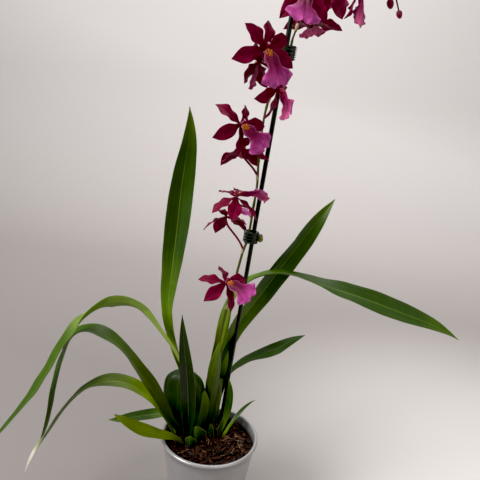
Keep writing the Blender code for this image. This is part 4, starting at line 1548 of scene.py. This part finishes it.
SOIL = 93.0
LEAVES = (
    Leaf("leaf_tall", (-41, 21, 180), 317, 30, (66, 76, 94, 93, 92, 97, 83), (178, 181, 182),
         (-96, -118, -100, -75, -66), widest=0.62, clasp=48, fold=22),
    Leaf("leaf_arch_high", (-39, 12, 179), 358, 23, (71, 53, 51, -16, -54, -65, -59, -53, -51),
         (185, 189, 199, 185, 183), (18, 20, 48, 62, -9, -15, -25, -15, -49), finish=LEAF_TURNED,
         slot=Slot.LEAF_PALE),
    Leaf("leaf_arch_middle", (-30, 8, SOIL + 1), 354, 26, (36, 64, 56, 55, 21, -72, -78, -80, -64),
         (186, 191, 176, 201, 219), (-62, -50, -28, 2, -3, 3, -11, -15, -22), widest=0.35, foot=0.47,
         finish=LEAF_OLIVE),
    Leaf("leaf_arch_low", (-45, 10, SOIL + 1), 262, 22, (60, 52, 36, 1, -39, -58, -55, -74),
         (166, 191, 210, 202), (-47, -26, -19, 28, 21, -32), widest=0.4, finish=LEAF_DRY_TIP),
    Leaf("leaf_short_front", (-35, -9, SOIL + 1), 101, 19, (48, 27, 27, 40, 43), (212, 206, 196),
         (-6, -19, -37), foot=0.6, finish=LEAF_YOUNG, slot=Slot.LEAF_LIGHT),
    Leaf("leaf_short_back", (-36, 34, SOIL + 1), 103, 16, (78, -2, -8, -11, 2), (192, 189, 189),
         (-6, -22, -31), foot=0.6, slot=Slot.LEAF_LIGHT),
    Leaf("leaf_spear", (-27, 0, SOIL + 0.8), 167, 21, (89, 85, 81, 84), (182, 182), (-89, -84, -92),
         widest=0.3, foot=0.72, fold=30, finish=LEAF_DARK, slot=Slot.LEAF_DARK),
    Leaf("leaf_broad_right", (6, 32, 168), 267, 29, (92, 69, 54, 60, 59, 59, 59), (36, 22, 7, 3, -11),
         (79, 82, 87, 107, 80), widest=0.64, foot=0.62, clasp=40, clasped=0.2, fold=26),
    Leaf("leaf_arch_right", (-5, 26, 168), 402, 28, (82, 80, 76, 23, -14, -9, -15, -15, -30),
         (13, 18, 2, -9, -9, -6, 1), (71, 71, 16, -7, -8, 27, 49, 39, 26), widest=0.72, foot=0.58,
         finish=LEAF_FOLDED),
    Leaf("leaf_short_right", (3, 34.8, 121), 159, 17, (68, 62, 37, 27, 38, 34), (61, -2, -12),
         (47, -7, 14, 55, 32), widest=0.65, clasp=50, clasped=0.3, finish=LEAF_PAINTED_SHADE),
    Leaf("leaf_small_right", (14, 22, SOIL + 1), 77, 10, (77, 80, 89, 109), (0, -2), (74, 72), foot=0.57,
         clasp=50, clasped=0.3, fold=20),
    Leaf("leaf_grass", (17, 11, SOIL + 1), 63, 5, (61, 53, 42, 12), (30, 30), (18, 24), widest=0.4,
         foot=0.78, clasp=40, clasped=0.3, fold=20),
    Leaf("scale_sheath", (-16, -4, SOIL + 0.8), 25, 29, (72, 84, 96), (272, 268), (0, -8), widest=0.4,
         foot=0.8, clasp=42, clasped=0.9, fold=30, taper=1.8, finish=LEAF_SCALE, slot=Slot.LEAF_DARK,
         wave=0.1),
    Leaf("scale_left", (-22.5, -14.5, SOIL + 0.8), 17, 18, (75, 95), (255, 250), (10, 0), widest=0.4,
         foot=0.8, clasp=40, clasped=0.9, fold=30, taper=1.8, finish=LEAF_SCALE, slot=Slot.LEAF_DARK,
         wave=0.1),
    Leaf("sheath_left", (-4.4, 14.5, SOIL + 1), 128, 19.5, (87, 89, 87, 84), (0, 0), (-90, -90), widest=0.6,
         foot=0.66, clasp=46, clasped=0.9, fold=34, taper=2.2, finish=LEAF_BASE, wave=0.1,
         stands_for_node=False),
    Leaf("sheath_middle", (-14, 10, SOIL + 1), 64, 23, (84, 88, 88), (0, 0), (-90, -90), widest=0.45,
         foot=0.72, clasp=44, clasped=0.9, fold=30, taper=2.2, finish=LEAF_BASE, wave=0.1,
         stands_for_node=False),
    Leaf("sheath_right", (2.5, 33, SOIL + 20), 112, 20, (87, 82, 76), (4, 4), (86, 90), widest=0.5,
         foot=0.7, clasp=50, clasped=0.9, fold=30, taper=1.8, finish=LEAF_PAINTED_SHADE, wave=0.1,
         stands_for_node=False),
    Leaf("shoot_left", (3, 8, SOIL + 1), 20, 7, (80, 84), (180, 180), (-80, -80), foot=0.6,
         finish=LEAF_SCALE, wave=0.1),
    Leaf("shoot_right", (10, 13, SOIL + 1), 24, 6, (74, 78), (20, 20), (75, 75), foot=0.6,
         finish=LEAF_SCALE, wave=0.1),
)


@dataclass(frozen=True)
class Bloom:
    """One flower: its heart, the way it faces, and how each of its five outer parts stands.

    Order of the five: top sepal, left and right petal, left and right side sepal. Lift is how far each
    stands forward of the flower's own plane, and leans turn it within that plane. The lip has its own turn
    from straight down, its lift, its roll about its length and its size.
    """

    number: int
    heart: tuple[float, float, float]
    heading: float
    nod: float
    spin: float
    stalk_at: float
    lift: tuple[float, ...] = (-4, -4, -4, -6, -6)
    leans: tuple[float, ...] = (0, 0, 0, 0, 0)
    lip_turn: tuple[float, float, float] = (0, 30, 0)
    lip_size: float = 1.0
    sepal_top: float = 29.0
    petal: float = 31.0
    sepal_side: float = 34.0
    lip_length: float = 36.0
    lip_half_width: float = 15.5
    lip_bend: float = 46.0
    heart_radius: float = 2.3
    gap: float = 0.4
    fullness: float = 1.24
    widest: float = 0.58
    outer_thickness: float = 0.75
    lip_thickness: float = 0.8

    def axes(self) -> tuple[Array, Array, Array]:
        """The flower's right, up and facing directions, from its heading, nod and spin.

        Returns:
            The three directions.
        """
        heading, nod, spin = (math.radians(turn) for turn in (self.heading, self.nod, self.spin))
        facing = np.array(
            [math.cos(nod) * math.cos(heading), math.cos(nod) * math.sin(heading), math.sin(nod)]
        )
        level_up = np.array(
            [-math.sin(nod) * math.cos(heading), -math.sin(nod) * math.sin(heading), math.cos(nod)]
        )
        level_right = np.cross(level_up, facing)
        right = math.cos(spin) * level_right + math.sin(spin) * level_up
        up = math.cos(spin) * level_up - math.sin(spin) * level_right
        return right, up, facing

    def outer_part(self, place: int, turn: float, length: float, half_width: float) -> Shape:
        """A pointed blade from the heart: widest past its middle, bowed forward, with a waved margin.

        Args:
            place: Which of the five it is.
            turn: Its angle in the flower's plane, from the right.
            length: Its length.
            half_width: Half its greatest width.

        Returns:
            The blade.
        """
        right, up, facing = self.axes()
        turn, lift = math.radians(turn + self.leans[place]), math.radians(self.lift[place])
        level = math.cos(turn) * right + math.sin(turn) * up
        outward = math.cos(lift) * level + math.sin(lift) * facing
        beside = -math.sin(turn) * right + math.cos(turn) * up
        face = np.cross(outward, beside)
        along, across = blade_grid(np.linspace(0.02, 1, 26), 13)
        growing = 0.2 + 0.8 * np.sin(np.pi / 2 * np.clip(along / self.widest, 0, 1)) ** 1.6
        shrinking = 1 - np.clip((along - self.widest) / (1 - self.widest), 0, 1) ** 2
        half = half_width * np.maximum(np.where(along < self.widest, growing, shrinking), 0.05)
        phase = 1.7 * place + 0.9 * self.number
        wave = np.sin(2 * np.pi * 2.3 * along + phase + 1.1 * np.sign(across)) * np.abs(across) ** 2.5
        raised = 0.25 * length * along * (1 - along) + 0.16 * np.abs(across) * half
        raised += 1.3 * wave * np.sin(np.pi * along) - 0.35 * np.exp(
            -((across / 0.2) ** 2)
        ) - 1.2 * along**5
        out = across * half * (self.fullness + 0.07 * np.sin(13 * along + phase))
        middle = (
            np.array(self.heart, float)
            + (along * length)[..., None] * outward
            + out[..., None] * beside
            + raised[..., None] * face
        )
        thickness = self.outer_thickness * (1 - 0.5 * across**2) * (1 - 0.3 * along)
        return shell(middle, thickness, blade_uv(along, across))

    def outer_parts(self) -> Shape:
        """All five outer parts in one shape.

        Returns:
            The five parts.
        """
        five = (
            (90, self.sepal_top, 5.2), (148, self.petal, 5.8), (32, self.petal, 5.8),
            (222, self.sepal_side, 6), (318, self.sepal_side, 6),
        )
        return Shape.joined([self.outer_part(place, *part) for place, part in enumerate(five)])

    def lip_axes(self) -> tuple[Array, Array, Array]:
        """The lip's directions along and across it, and out of its face.

        Returns:
            The three directions.
        """
        right, up, facing = self.axes()
        turn, lift, roll = (math.radians(angle) for angle in self.lip_turn)
        level = math.sin(turn) * right - math.cos(turn) * up
        across = math.cos(turn) * right + math.sin(turn) * up
        along = math.cos(lift) * level + math.sin(lift) * facing
        face = np.cross(along, across)
        return (
            along,
            math.cos(roll) * across + math.sin(roll) * face,
            math.cos(roll) * face - math.sin(roll) * across,
        )

    def lip_middle(self, along: Array, across: Array) -> Array:
        """The lip's middle surface: a fiddle's outline on a rib that bends over, with a frilled margin.

        Args:
            along: Places from 0 at the foot to 1 at the tip.
            across: Places from -1 to 1 across the lip.

        Returns:
            The point at each place.
        """
        _, up, facing = self.axes()
        lengthwise, sideways, outward = self.lip_axes()
        fine = 120
        middles = (np.arange(fine) + 0.5) / fine
        slope = np.radians(self.lip_bend * (0.6 - middles))
        steps = np.outer(np.cos(slope), lengthwise) + np.outer(np.sin(slope), outward)
        start = np.array(self.heart, float) - 0.6 * up + (self.heart_radius + self.gap + 0.35) * facing
        length = self.lip_length * self.lip_size
        rib = start + np.vstack([np.zeros(3), np.cumsum(steps * length / fine, axis=0)])
        widths = np.array(
            (0.1, 0.32, 0.46, 0.4, 0.46, 0.78, 1.0, 0.95, 0.6)
        ) * self.lip_half_width * self.lip_size
        half = smooth_knots(widths, along)
        out = np.abs(across)
        reach = along - along**4 * (0.1 * (1 - out) ** 2 + 0.13 * out**4)
        slope = np.radians(self.lip_bend * (0.6 - along))
        face = np.cos(slope)[..., None] * outward - np.sin(slope)[..., None] * lengthwise
        places = np.linspace(0, 1, fine + 1)
        centre = line_at(reach, places, rib)
        droop = -0.2 * half * out**2 + 0.9 * np.sin(11 * along) * out**3 * along
        frill = np.sin(31 * along + 0.8 * self.number + 2 * np.sign(across)) * out**4
        frill += np.sin(9 * across + self.number) * along**6
        droop += 1.2 * frill * np.clip(along * 2 - 0.6, 0, 1)
        droop += 0.5 * np.cos(7 * across + self.number) * np.sin(np.pi * along) * (1 - out**2)
        return centre + (across * half)[..., None] * sideways + droop[..., None] * face

    def lip(self) -> Shape:
        """The lip as a blade that thins to its margin.

        Returns:
            The lip.
        """
        along, across = blade_grid(np.linspace(0, 1, 44), 33)
        thickness = self.lip_thickness * (1 - 0.55 * across**2) * (1 - 0.4 * along**6)
        return shell(self.lip_middle(along, across), thickness, blade_uv(along, across))

    def crest(self) -> Shape:
        """The crest: five short keels side by side on the lip's foot, the middle one longest.

        Returns:
            The crest.
        """
        lengthwise, sideways, outward = self.lip_axes()
        axes = np.stack([sideways, outward, lengthwise])
        keels = (
            (0.06, 0, 1.1, 1.6), (0.1, -0.62, 0.8, 2.0), (0.1, 0.62, 0.8, 2.0), (0.15, -0.22, 0.75, 2.9),
            (0.15, 0.22, 0.75, 2.9), (0.18, 0, 0.6, 2.6),
        )
        shapes = []
        for along, across, radius, length in keels:
            place = self.lip_middle(np.array([[along]]), np.array([[across]]))[0, 0] + 0.6 * outward
            shapes.append(egg(place, (radius * 0.75, radius * 1.2, length), axes, 10, 9))
        return Shape.joined(shapes)

    def column(self) -> Shape:
        """The column: a short rod that swells to its cap, with a small wing on each side.

        Returns:
            The column.
        """
        right, up, facing = self.axes()
        heart = np.array(self.heart, float)
        end = heart + 4.8 * facing + 4 * up
        route = smooth_line([heart - 1.2 * facing, heart + 1.6 * facing + 0.9 * up, end], 6)
        share = np.linspace(0, 1, len(route))
        rod = swept(route, 1.8 - 0.6 * np.sin(np.pi * share) - 0.2 * share, 14)
        rod.values[SHADE] = np.concatenate([np.repeat(share * 0.5, 14), [0, 0.5]])
        axes = np.stack([right, np.cross(unit(up + facing), right), unit(up + facing)])
        cap = egg(end, (1.4, 1.3, 1.1), axes).shaded(0.95)
        wings = [
            egg(
                end - 0.8 * facing + side * 1.7 * right, (1.2, 0.5, 1.4), axes, 10, 7
            ).shaded(0.4) for side in (-1, 1)
        ]
        return Shape.joined([rod, cap, *wings])

    def build(self) -> None:
        """Builds the flower's outer parts, lip, crest and column in place of its two nodes."""
        name = f"bloom_{self.number:02d}"
        add_piece(f"{name}_outer_parts", self.outer_parts(), TEPAL, replaces=[f"{name}_petals"])
        add_piece(f"{name}_column", self.column(), COLUMN)
        add_piece(f"{name}_frilled_lip", self.lip(), LIP, replaces=[f"{name}_lip"])
        add_piece(f"{name}_crest", self.crest(), CREST)


BLOOMS = (
    Bloom(1, (3, -11, 307), -28, 44, -34, 0.28, (-12, -35, 15, -31, -24), (-4, 12, -12, 1, -18),
          (38, 24, 35)),
    Bloom(2, (6, -14, 405), -44, 73, 5, 0.42, (-13, -40, -3, -26, -30), (-9, 10, 0, 0, -16), (22, 17, -40)),
    Bloom(3, (-3, 10, 378), 79, 62, -12, 0.337, (-3, -17, -41, -11, -22), (0, 17, 5, 21, -7), (-32, 19, 32),
          0.95),
    Bloom(4, (3, -33, 481), -32, 12, -29, 0.575, (-6, -27, 24, -24, -15), (-17, 12, -8, 9, -16),
          (56, 26, 26)),
    Bloom(5, (8, -7, 454), 101, 53, -4, 0.49, (-4, -27, -38, -5, -3), (0, 20, -13, 8, -11), (-18, 6, 18),
          0.95),
    Bloom(6, (36, -28, 519), -24, -9, -41, 0.632, (-5, -3, -3, -13, -11), (-38, 0, 0, 25, 3), (11, 34, -35),
          0.95),
    Bloom(7, (20, -46, 552), -55, 4, -2, 0.648, (-13, 5, -3, -17, 11), (-13, -1, -1, -18, 19), (19, 12, 9),
          1.08),
    Bloom(8, (17, -10, 543), 150, 15, 0, 0.66, lip_turn=(-50, 5, 0)),
    Bloom(9, (51, -40, 604), -85, 8, -2, 0.76, (-3, -3, -3, 8, -4), (0, 0, 0, 10, -1), (-5, 23, -7), 1.08),
    Bloom(10, (67, 9, 586), 80, 56, -4, 0.768, (-28, -36, -38, 12, 10), (0, -14, 13, -16, 20), (1, 12, -13),
          0.95),
    Bloom(11, (80, -14, 620), 75, 15, 0, 0.87, (-4, 14, -4, -12, 5), (0, 0, 0, 25, -25), (0, 40, 0)),
    Bloom(12, (99, -34, 614), -12, -15, 19, 0.9, (-3, -3, -3, 4, -3), (0, 0, 0, 3, 0), (13, 14, -32)),
    Bloom(13, (86, -40, 661), -100, 20, 0, 0.885),
)


@dataclass(frozen=True)
class Spike:
    """The flower spike: its stem, the stalk and bract of each bloom, and the buds at its tip."""

    route: tuple[tuple[float, float, float], ...] = (
        (-5.6, 20.4, 148), (-5.6, 20.4, 168), (-2.3, 20.2, 195), (3.1, 20, 233), (7, 17.5, 268),
        (13.2, 14, 302),
        (19, 11, 337), (23.7, 9.8, 357), (26, 4.6, 393), (27.4, 1.2, 417), (26.2, -2, 446), (26.6, -6, 480),
        (30, -6, 507), (38.5, -6.6, 527), (44.6, -10.4, 541), (45.7, -15, 554), (46.6, -17.6, 566),
        (49.5, -19.3, 578), (52.5, -22, 598), (60, -25, 617), (74, -26, 631), (93, -26, 637),
        (112, -26, 634),
        (128, -26, 624), (139, -26, 610),
    )
    buds: tuple[tuple[float, tuple[float, float, float], float], ...] = (
        (0.945, (132, -32, 626), 11.0), (0.97, (136, -20, 606), 9.5), (1.0, (144, -28, 596), 8.0),
    )
    bare_nodes: tuple[float, ...] = (0.205,)
    foot_radius: float = 1.6
    tip_radius: float = 0.8
    stalk_radius: float = 0.75
    stalk_flesh: float = 1.6
    node_swell: float = 0.28
    node_reach: float = 0.006
    bract_thickness: float = 0.3

    def line(self) -> Array:
        """The stem's axis."""
        return smooth_line(self.route, 8)

    def at(self, fraction: float) -> tuple[Array, Array]:
        """The point a fraction of the way along the stem, and the way it runs there.

        Args:
            fraction: How far along, from 0 to 1.

        Returns:
            The point and the direction.
        """
        line = self.line()
        reached = np.concatenate([[0], np.cumsum(np.linalg.norm(np.diff(line, axis=0), axis=1))])
        ahead = unit(np.gradient(line, axis=0))
        place = fraction * reached[-1]
        return line_at(place, reached, line), unit(line_at(place, reached, ahead))

    def stem(self) -> Shape:
        """The stem, a little thicker at each node.

        Returns:
            The stem.
        """
        line = self.line()
        share = np.linspace(0, 1, len(line))
        radii = self.foot_radius + (self.tip_radius - self.foot_radius) * share
        for node in [bloom.stalk_at for bloom in BLOOMS] + list(self.bare_nodes):
            radii = radii + self.node_swell * np.exp(-(((share - node) / self.node_reach) ** 2))
        stem = swept(line, radii, 14)
        stem.values[SHADE] = np.concatenate([np.repeat(0.55 * share**1.5, 14), [0, 0.55]])
        return stem

    def stalk(self, bloom: Bloom) -> Shape:
        """A bloom's stalk: a cubic curve out of the stem and up to the back of the flower.

        Args:
            bloom: The bloom that it carries.

        Returns:
            The stalk.
        """
        root, onward = self.at(bloom.stalk_at)
        facing = bloom.axes()[2]
        back = np.array(bloom.heart, float) - facing * (bloom.heart_radius + bloom.gap + 0.2)
        length = np.linalg.norm(back - root)
        out = (back - root) / length + 0.5 * onward
        handles = (root, root + out * length * 0.3, back - facing * min(0.4 * length, 9), back)
        step = np.linspace(0, 1, 22)[:, None]
        weights = ((1 - step) ** 3, 3 * step * (1 - step) ** 2, 3 * step**2 * (1 - step), step**3)
        line = sum(weight * handle for weight, handle in zip(weights, handles))
        line = np.vstack([line, np.array(bloom.heart, float) - facing * 0.8])
        share = np.linspace(0, 1, len(line))
        radii = self.stalk_flesh * self.stalk_radius * (
            1 + 0.25 * np.exp(-(((share - 0.86) / 0.12) ** 2)) + 0.4 * np.exp(-share / 0.04)
        )
        stalk = swept(line, radii, 10)
        stalk.values[SHADE] = np.concatenate([np.repeat(0.75 + 0.2 * share, 10), [0.75, 0.95]])
        return stalk

    def bud(self, at: float, centre: tuple[float, float, float], length: float) -> Shape:
        """A bud on its own stalk: an egg with three shallow seams.

        Args:
            at: How far along the stem its stalk starts.
            centre: The bud's middle.
            length: Its length.

        Returns:
            The bud and its stalk.
        """
        root, _ = self.at(at)
        centre = np.array(centre, float)
        axis = unit(centre - root + np.array([0, 0, -2.0]))
        beside = unit(np.cross(axis, [0, 1, 0.2]))
        axes = np.stack([beside, np.cross(axis, beside), axis])
        body = egg(centre, (length * 0.36, length * 0.36, length * 0.5), axes, 18, 13)
        local = (body.points - centre) @ axes.T
        seams = 1 - 0.07 * np.abs(np.cos(1.5 * np.arctan2(local[:, 1], local[:, 0]))) ** 6
        local[:, :2] *= (seams * (1 - 0.25 * local[:, 2] / length))[:, None]
        body.points = local @ axes + centre
        route = np.linspace(root, centre - axis * length * 0.4, 8)
        stalk = swept(route, np.full(len(route), self.stalk_radius), 10)
        return Shape.joined([body.shaded(0.9), stalk.shaded(0.6)])

    def bract(self, at: float, towards: Array, length: float = 8.0) -> Shape:
        """A papery bract: a pointed sheet that wraps the stem at its foot and stands off at its tip.

        Args:
            at: How far along the stem it sits.
            towards: A point on the side that it stands on.
            length: Its length.

        Returns:
            The bract.
        """
        root, onward = self.at(at)
        outward = unit(towards - root - onward * ((towards - root) @ onward))
        beside = np.cross(onward, outward)
        along, across = blade_grid(np.linspace(0, 1, 14), 11)
        stem_radius = self.foot_radius + (self.tip_radius - self.foot_radius) * at
        turn = across * 2.2 * (1 - along**1.3)
        radius = stem_radius + 0.35 + 1.3 * along**2
        middle = (
            root
            + (along * length - 1.2)[..., None] * onward
            + (radius * np.cos(turn))[..., None] * outward
            + (radius * np.sin(turn))[..., None] * beside
        )
        return shell(middle, np.full(along.shape, self.bract_thickness), blade_uv(along, across))

    def build(self) -> None:
        """Builds the stem, the stalks, the buds and the bracts in place of the spike's node."""
        add_piece("spike_stem", self.stem(), STEM, replaces=["flower_spike"])
        add_piece("flower_stalks", Shape.joined([self.stalk(bloom) for bloom in BLOOMS]), STEM)
        add_piece("flower_buds", Shape.joined([self.bud(*bud) for bud in self.buds]), STEM)
        bracts = [self.bract(bloom.stalk_at - 0.004, np.array(bloom.heart, float)) for bloom in BLOOMS]
        for number, node in enumerate(self.bare_nodes):
            towards = self.at(node)[0] + np.array([8 * (-1) ** number, -6, 0])
            bracts.append(self.bract(node, towards, 11.0))
        add_piece("papery_bracts", Shape.joined(bracts), BRACT)


@dataclass(frozen=True)
class Stake:
    """The straight round stake that the spike is tied to."""

    foot: tuple[float, float, float] = (12.2, 46.7, 82.0)
    top: tuple[float, float, float] = (45.0, -23.5, 617.0)
    diameter: float = 5.0

    def build(self) -> None:
        """Builds the stake: a rod with a short pointed foot and a rounded top."""
        low, high = np.array(self.foot), np.array(self.top)
        radius = self.diameter / 2
        along = np.concatenate([[0, 0.004, 0.012], np.linspace(0.03, 0.99, 30), [0.996, 0.999, 1.0]])
        radii = np.concatenate([[0.4, 0.7, 1.0], np.ones(30), [1.0, 0.92, 0.75]]) * radius
        shape = swept(low + (high - low) * along[:, None], radii, 24)
        add_piece("round_stake", shape, STAKE_GREEN, replaces=["stake"])


@dataclass(frozen=True)
class Clips:
    """The two claw clips: copies of the model's jaws with their edges rounded, and a comb of tines on each.

    fixed_tines and moving_tines say how many tines a jaw has, and how far the outer ones stand from the
    clip's middle.
    """

    stake: Stake
    edge_mm: float = 0.25
    heights: tuple[float, float] = (357.0, 554.0)
    tab_sides: tuple[int, int] = (1, -1)
    tab_from: float = 6.0
    fixed_tines: tuple[int, float] = (4, 5.4)
    moving_tines: tuple[int, float] = (3, 3.6)
    tine_arc: tuple[float, float] = (98.0, 188.0)
    tine_radius: float = 5.5
    tine_bulge: float = 5.0
    tine_radii: tuple[float, float] = (0.8, 0.5)

    def frame(self, number: int) -> tuple[Array, Array, Array]:
        """Where a clip stands: level with its height on the stake's axis, its tab square to the stake.

        Args:
            number: The clip's number, 1 or 2.

        Returns:
            Its middle, the way the stake runs, and the way its tab points.
        """
        low, high = np.array(self.stake.foot), np.array(self.stake.top)
        ahead = unit(high - low)
        middle = low + ahead * (self.heights[number - 1] - low[2]) / ahead[2]
        outward = np.array([self.tab_sides[number - 1], 0, 0])
        return middle, ahead, unit(outward - ahead * (outward @ ahead))

    def tines(self, number: int, side: int) -> Shape:
        """The curved tines on the outside of one jaw: thin arcs that hook a little past the jaw's end.

        An arc's radius is its least one plus a bulge times the squared cosine of the angle from the tab.

        Args:
            number: The clip's number, 1 or 2.
            side: 1 for the fixed jaw or -1 for the moving one, whose tines stand between the others.

        Returns:
            The tines.
        """
        middle, ahead, outward = self.frame(number)
        beside = np.cross(ahead, outward)
        turn = np.radians(side * np.linspace(*self.tine_arc, 16))
        radius = self.tine_radius + self.tine_bulge * np.cos(turn) ** 2
        arc = np.outer(radius * np.cos(turn), outward) + np.outer(radius * np.sin(turn), beside)
        count, reach = self.fixed_tines if side > 0 else self.moving_tines
        radii = np.linspace(*self.tine_radii, 16)
        shapes = [
            swept(middle + ahead * place + arc, radii, 8) for place in np.linspace(-reach, reach, count)
        ]
        return Shape.joined(shapes).shaded(0.0)

    def rounded(self, number: int, jaw: str, body: Body) -> None:
        """Copies one jaw, merges its loose triangles, rounds its edges and lets it stand for the node.

        Args:
            number: The clip's number, 1 or 2.
            jaw: The jaw, fixed or moving.
            body: The body that carries it.
        """
        node = f"clip_{number}_{jaw}_jaw"
        bm = bmesh.new()
        bm.from_mesh(bpy.data.objects[node].data)
        bmesh.ops.remove_doubles(bm, verts=bm.verts, dist=0.001 * MM)
        bmesh.ops.dissolve_limit(bm, angle_limit=math.radians(1), verts=bm.verts, edges=bm.edges)
        mesh = bpy.data.meshes.new(f"{node}_moulded")
        bm.to_mesh(mesh)
        bm.free()
        points = np.zeros(len(mesh.vertices) * 3, np.float32)
        mesh.vertices.foreach_get("co", points)
        middle, _, outward = self.frame(number)
        out = (points.reshape(-1, 3) / MM - middle) @ outward
        tint = mesh.attributes.new(SHADE, "FLOAT", "POINT")
        tint.data.foreach_set("value", np.clip((out - self.tab_from) / 1.5, 0.4, 1).astype(np.float32))
        piece = in_scene(f"{node}_moulded", mesh)
        dressed(piece, CLIP_CLEAR, body, [node])
        edges = piece.modifiers.new("Rounded edges", "BEVEL")
        edges.width = self.edge_mm * MM
        edges.segments = 2
        edges.limit_method = "ANGLE"
        edges.angle_limit = math.radians(35)

    def build(self) -> None:
        """Builds the four jaws and their tines, each on the body that carries it."""
        for number, jaw_body in ((1, Body.CLIP_1_JAW), (2, Body.CLIP_2_JAW)):
            self.rounded(number, "fixed", Body.PLANT)
            self.rounded(number, "moving", jaw_body)
            add_piece(f"clip_{number}_fixed_tines", self.tines(number, 1), CLIP_CLEAR)
            add_piece(
                f"clip_{number}_moving_tines", self.tines(number, -1), CLIP_CLEAR, jaw_body
            )


@dataclass(frozen=True)
class Studio:
    """Camera, soft lights, and a seamless paper sweep behind and under the plant."""

    camera_at: tuple[float, float, float] = (0.0016, -0.5429, 0.4948)
    heading: float = 1.363
    pitch: float = -14.44
    roll: float = 5.45
    lens: float = 37.7
    black_point: float = 0.011
    white_point: float = 0.9
    sweep_front: float = -3.4
    sweep_back: float = 1.7
    sweep_curve: float = 0.6
    sweep_top: float = 2.8
    half_width: float = 3.6
    sensor: float = 36.0
    nearest: float = 0.02
    room_colour: str = "#E8E6E4"
    room_strength: float = 0.34

    def camera(self) -> None:
        """Places the camera: it looks along +Y, turned by its heading, pitch and roll."""
        data = bpy.data.cameras.new("camera")
        data.sensor_width = self.sensor
        data.lens = self.lens
        data.clip_start = self.nearest
        camera = in_scene("camera", data)
        turn = (
            Matrix.Rotation(math.radians(-self.heading), 4, "Z")
            @ Matrix.Rotation(math.radians(90 + self.pitch), 4, "X")
            @ Matrix.Rotation(math.radians(self.roll), 4, "Z")
        )
        camera.matrix_world = Matrix.Translation(self.camera_at) @ turn
        bpy.context.scene.camera = camera

    def light(
        self,
        name: str,
        place: tuple[float, float, float],
        size: float,
        power: float,
        colour: str,
        target: tuple[float, float, float] = (0.0, 0.0, 0.3),
    ) -> None:
        """Adds a square soft light.

        Args:
            name: The light's name.
            place: Where it stands.
            size: The length of its side.
            power: Its power in watts.
            colour: Its colour.
            target: The point that it looks at; the middle of the plant unless given.
        """
        data = bpy.data.lights.new(name, "AREA")
        data.shape = "SQUARE"
        data.size = size
        data.energy = power
        data.color = linear(colour)[:3]
        lamp = in_scene(name, data)
        lamp.location = place
        lamp.rotation_mode = "QUATERNION"
        lamp.rotation_quaternion = (Vector(target) - Vector(place)).to_track_quat("-Z", "Y")

    def sweep(self) -> None:
        """The paper: level to the back, a quarter turn, then upright."""
        turn = np.radians(np.linspace(0, 90, 24))
        curve = np.stack(
            [
                self.sweep_back - self.sweep_curve + self.sweep_curve * np.sin(turn),
                self.sweep_curve * (1 - np.cos(turn)),
            ],
            axis=1,
        )
        profile = np.vstack([[self.sweep_front, 0], curve, [self.sweep_back, self.sweep_top]])
        left, right = (
            np.hstack([np.full((len(profile), 1), side * self.half_width), profile]) for side in (-1, 1)
        )
        points = np.stack([left, right], axis=1).reshape(-1, 3)
        mesh = bpy.data.meshes.new("paper_sweep")
        mesh.from_pydata(points.tolist(), [], grid_quads(len(profile), 2).tolist())
        mesh.shade_smooth()
        mesh.materials.append(PAPER.material())
        in_scene("paper_sweep", mesh)

    def build(self) -> None:
        """Sets up the camera, the lights, the world and the paper."""
        self.camera()
        self.sweep()
        self.light("key light", (-1.3, -0.7, 1.2), 0.8, 24.0, "#FFFFFF")
        self.light("fill light", (1.1, -1.3, 0.9), 1.4, 5.5, "#FFFAF4")
        self.light("top light", (0.2, 0.2, 2.0), 1.0, 11.0, "#FFFFFF")
        self.light("backdrop light", (0.3, 1.2, 2.3), 1.0, 12.0, "#FFFCFA", (0.3, 1.7, 1.2))
        world = bpy.data.worlds.new("soft room")
        world.use_nodes = True
        backdrop = world.node_tree.nodes["Background"]
        backdrop.inputs["Color"].default_value = linear(self.room_colour)
        backdrop.inputs["Strength"].default_value = self.room_strength
        bpy.context.scene.world = world
        view = bpy.context.scene.view_settings
        view.view_transform = "Standard"
        view.use_curve_mapping = True
        view.curve_mapping.black_level = (self.black_point,) * 3
        view.curve_mapping.white_level = (self.white_point,) * 3
        view.curve_mapping.update()


def main() -> None:
    """Builds the studio and the orchid in order."""
    logging.basicConfig(level=logging.INFO, format="%(message)s")
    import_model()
    Studio().build()
    pot = Pot()
    stake = Stake()
    builders: list[Callable[[], None]] = [pot.build, BarkMix(pot).build, Stems().build, stake.build]
    builders += [Clips(stake).build]
    builders += [leaf.build for leaf in LEAVES]
    builders += [Spike().build]
    builders += [bloom.build for bloom in BLOOMS]
    for build in builders:
        build()


if __name__ == "__main__":
    main()
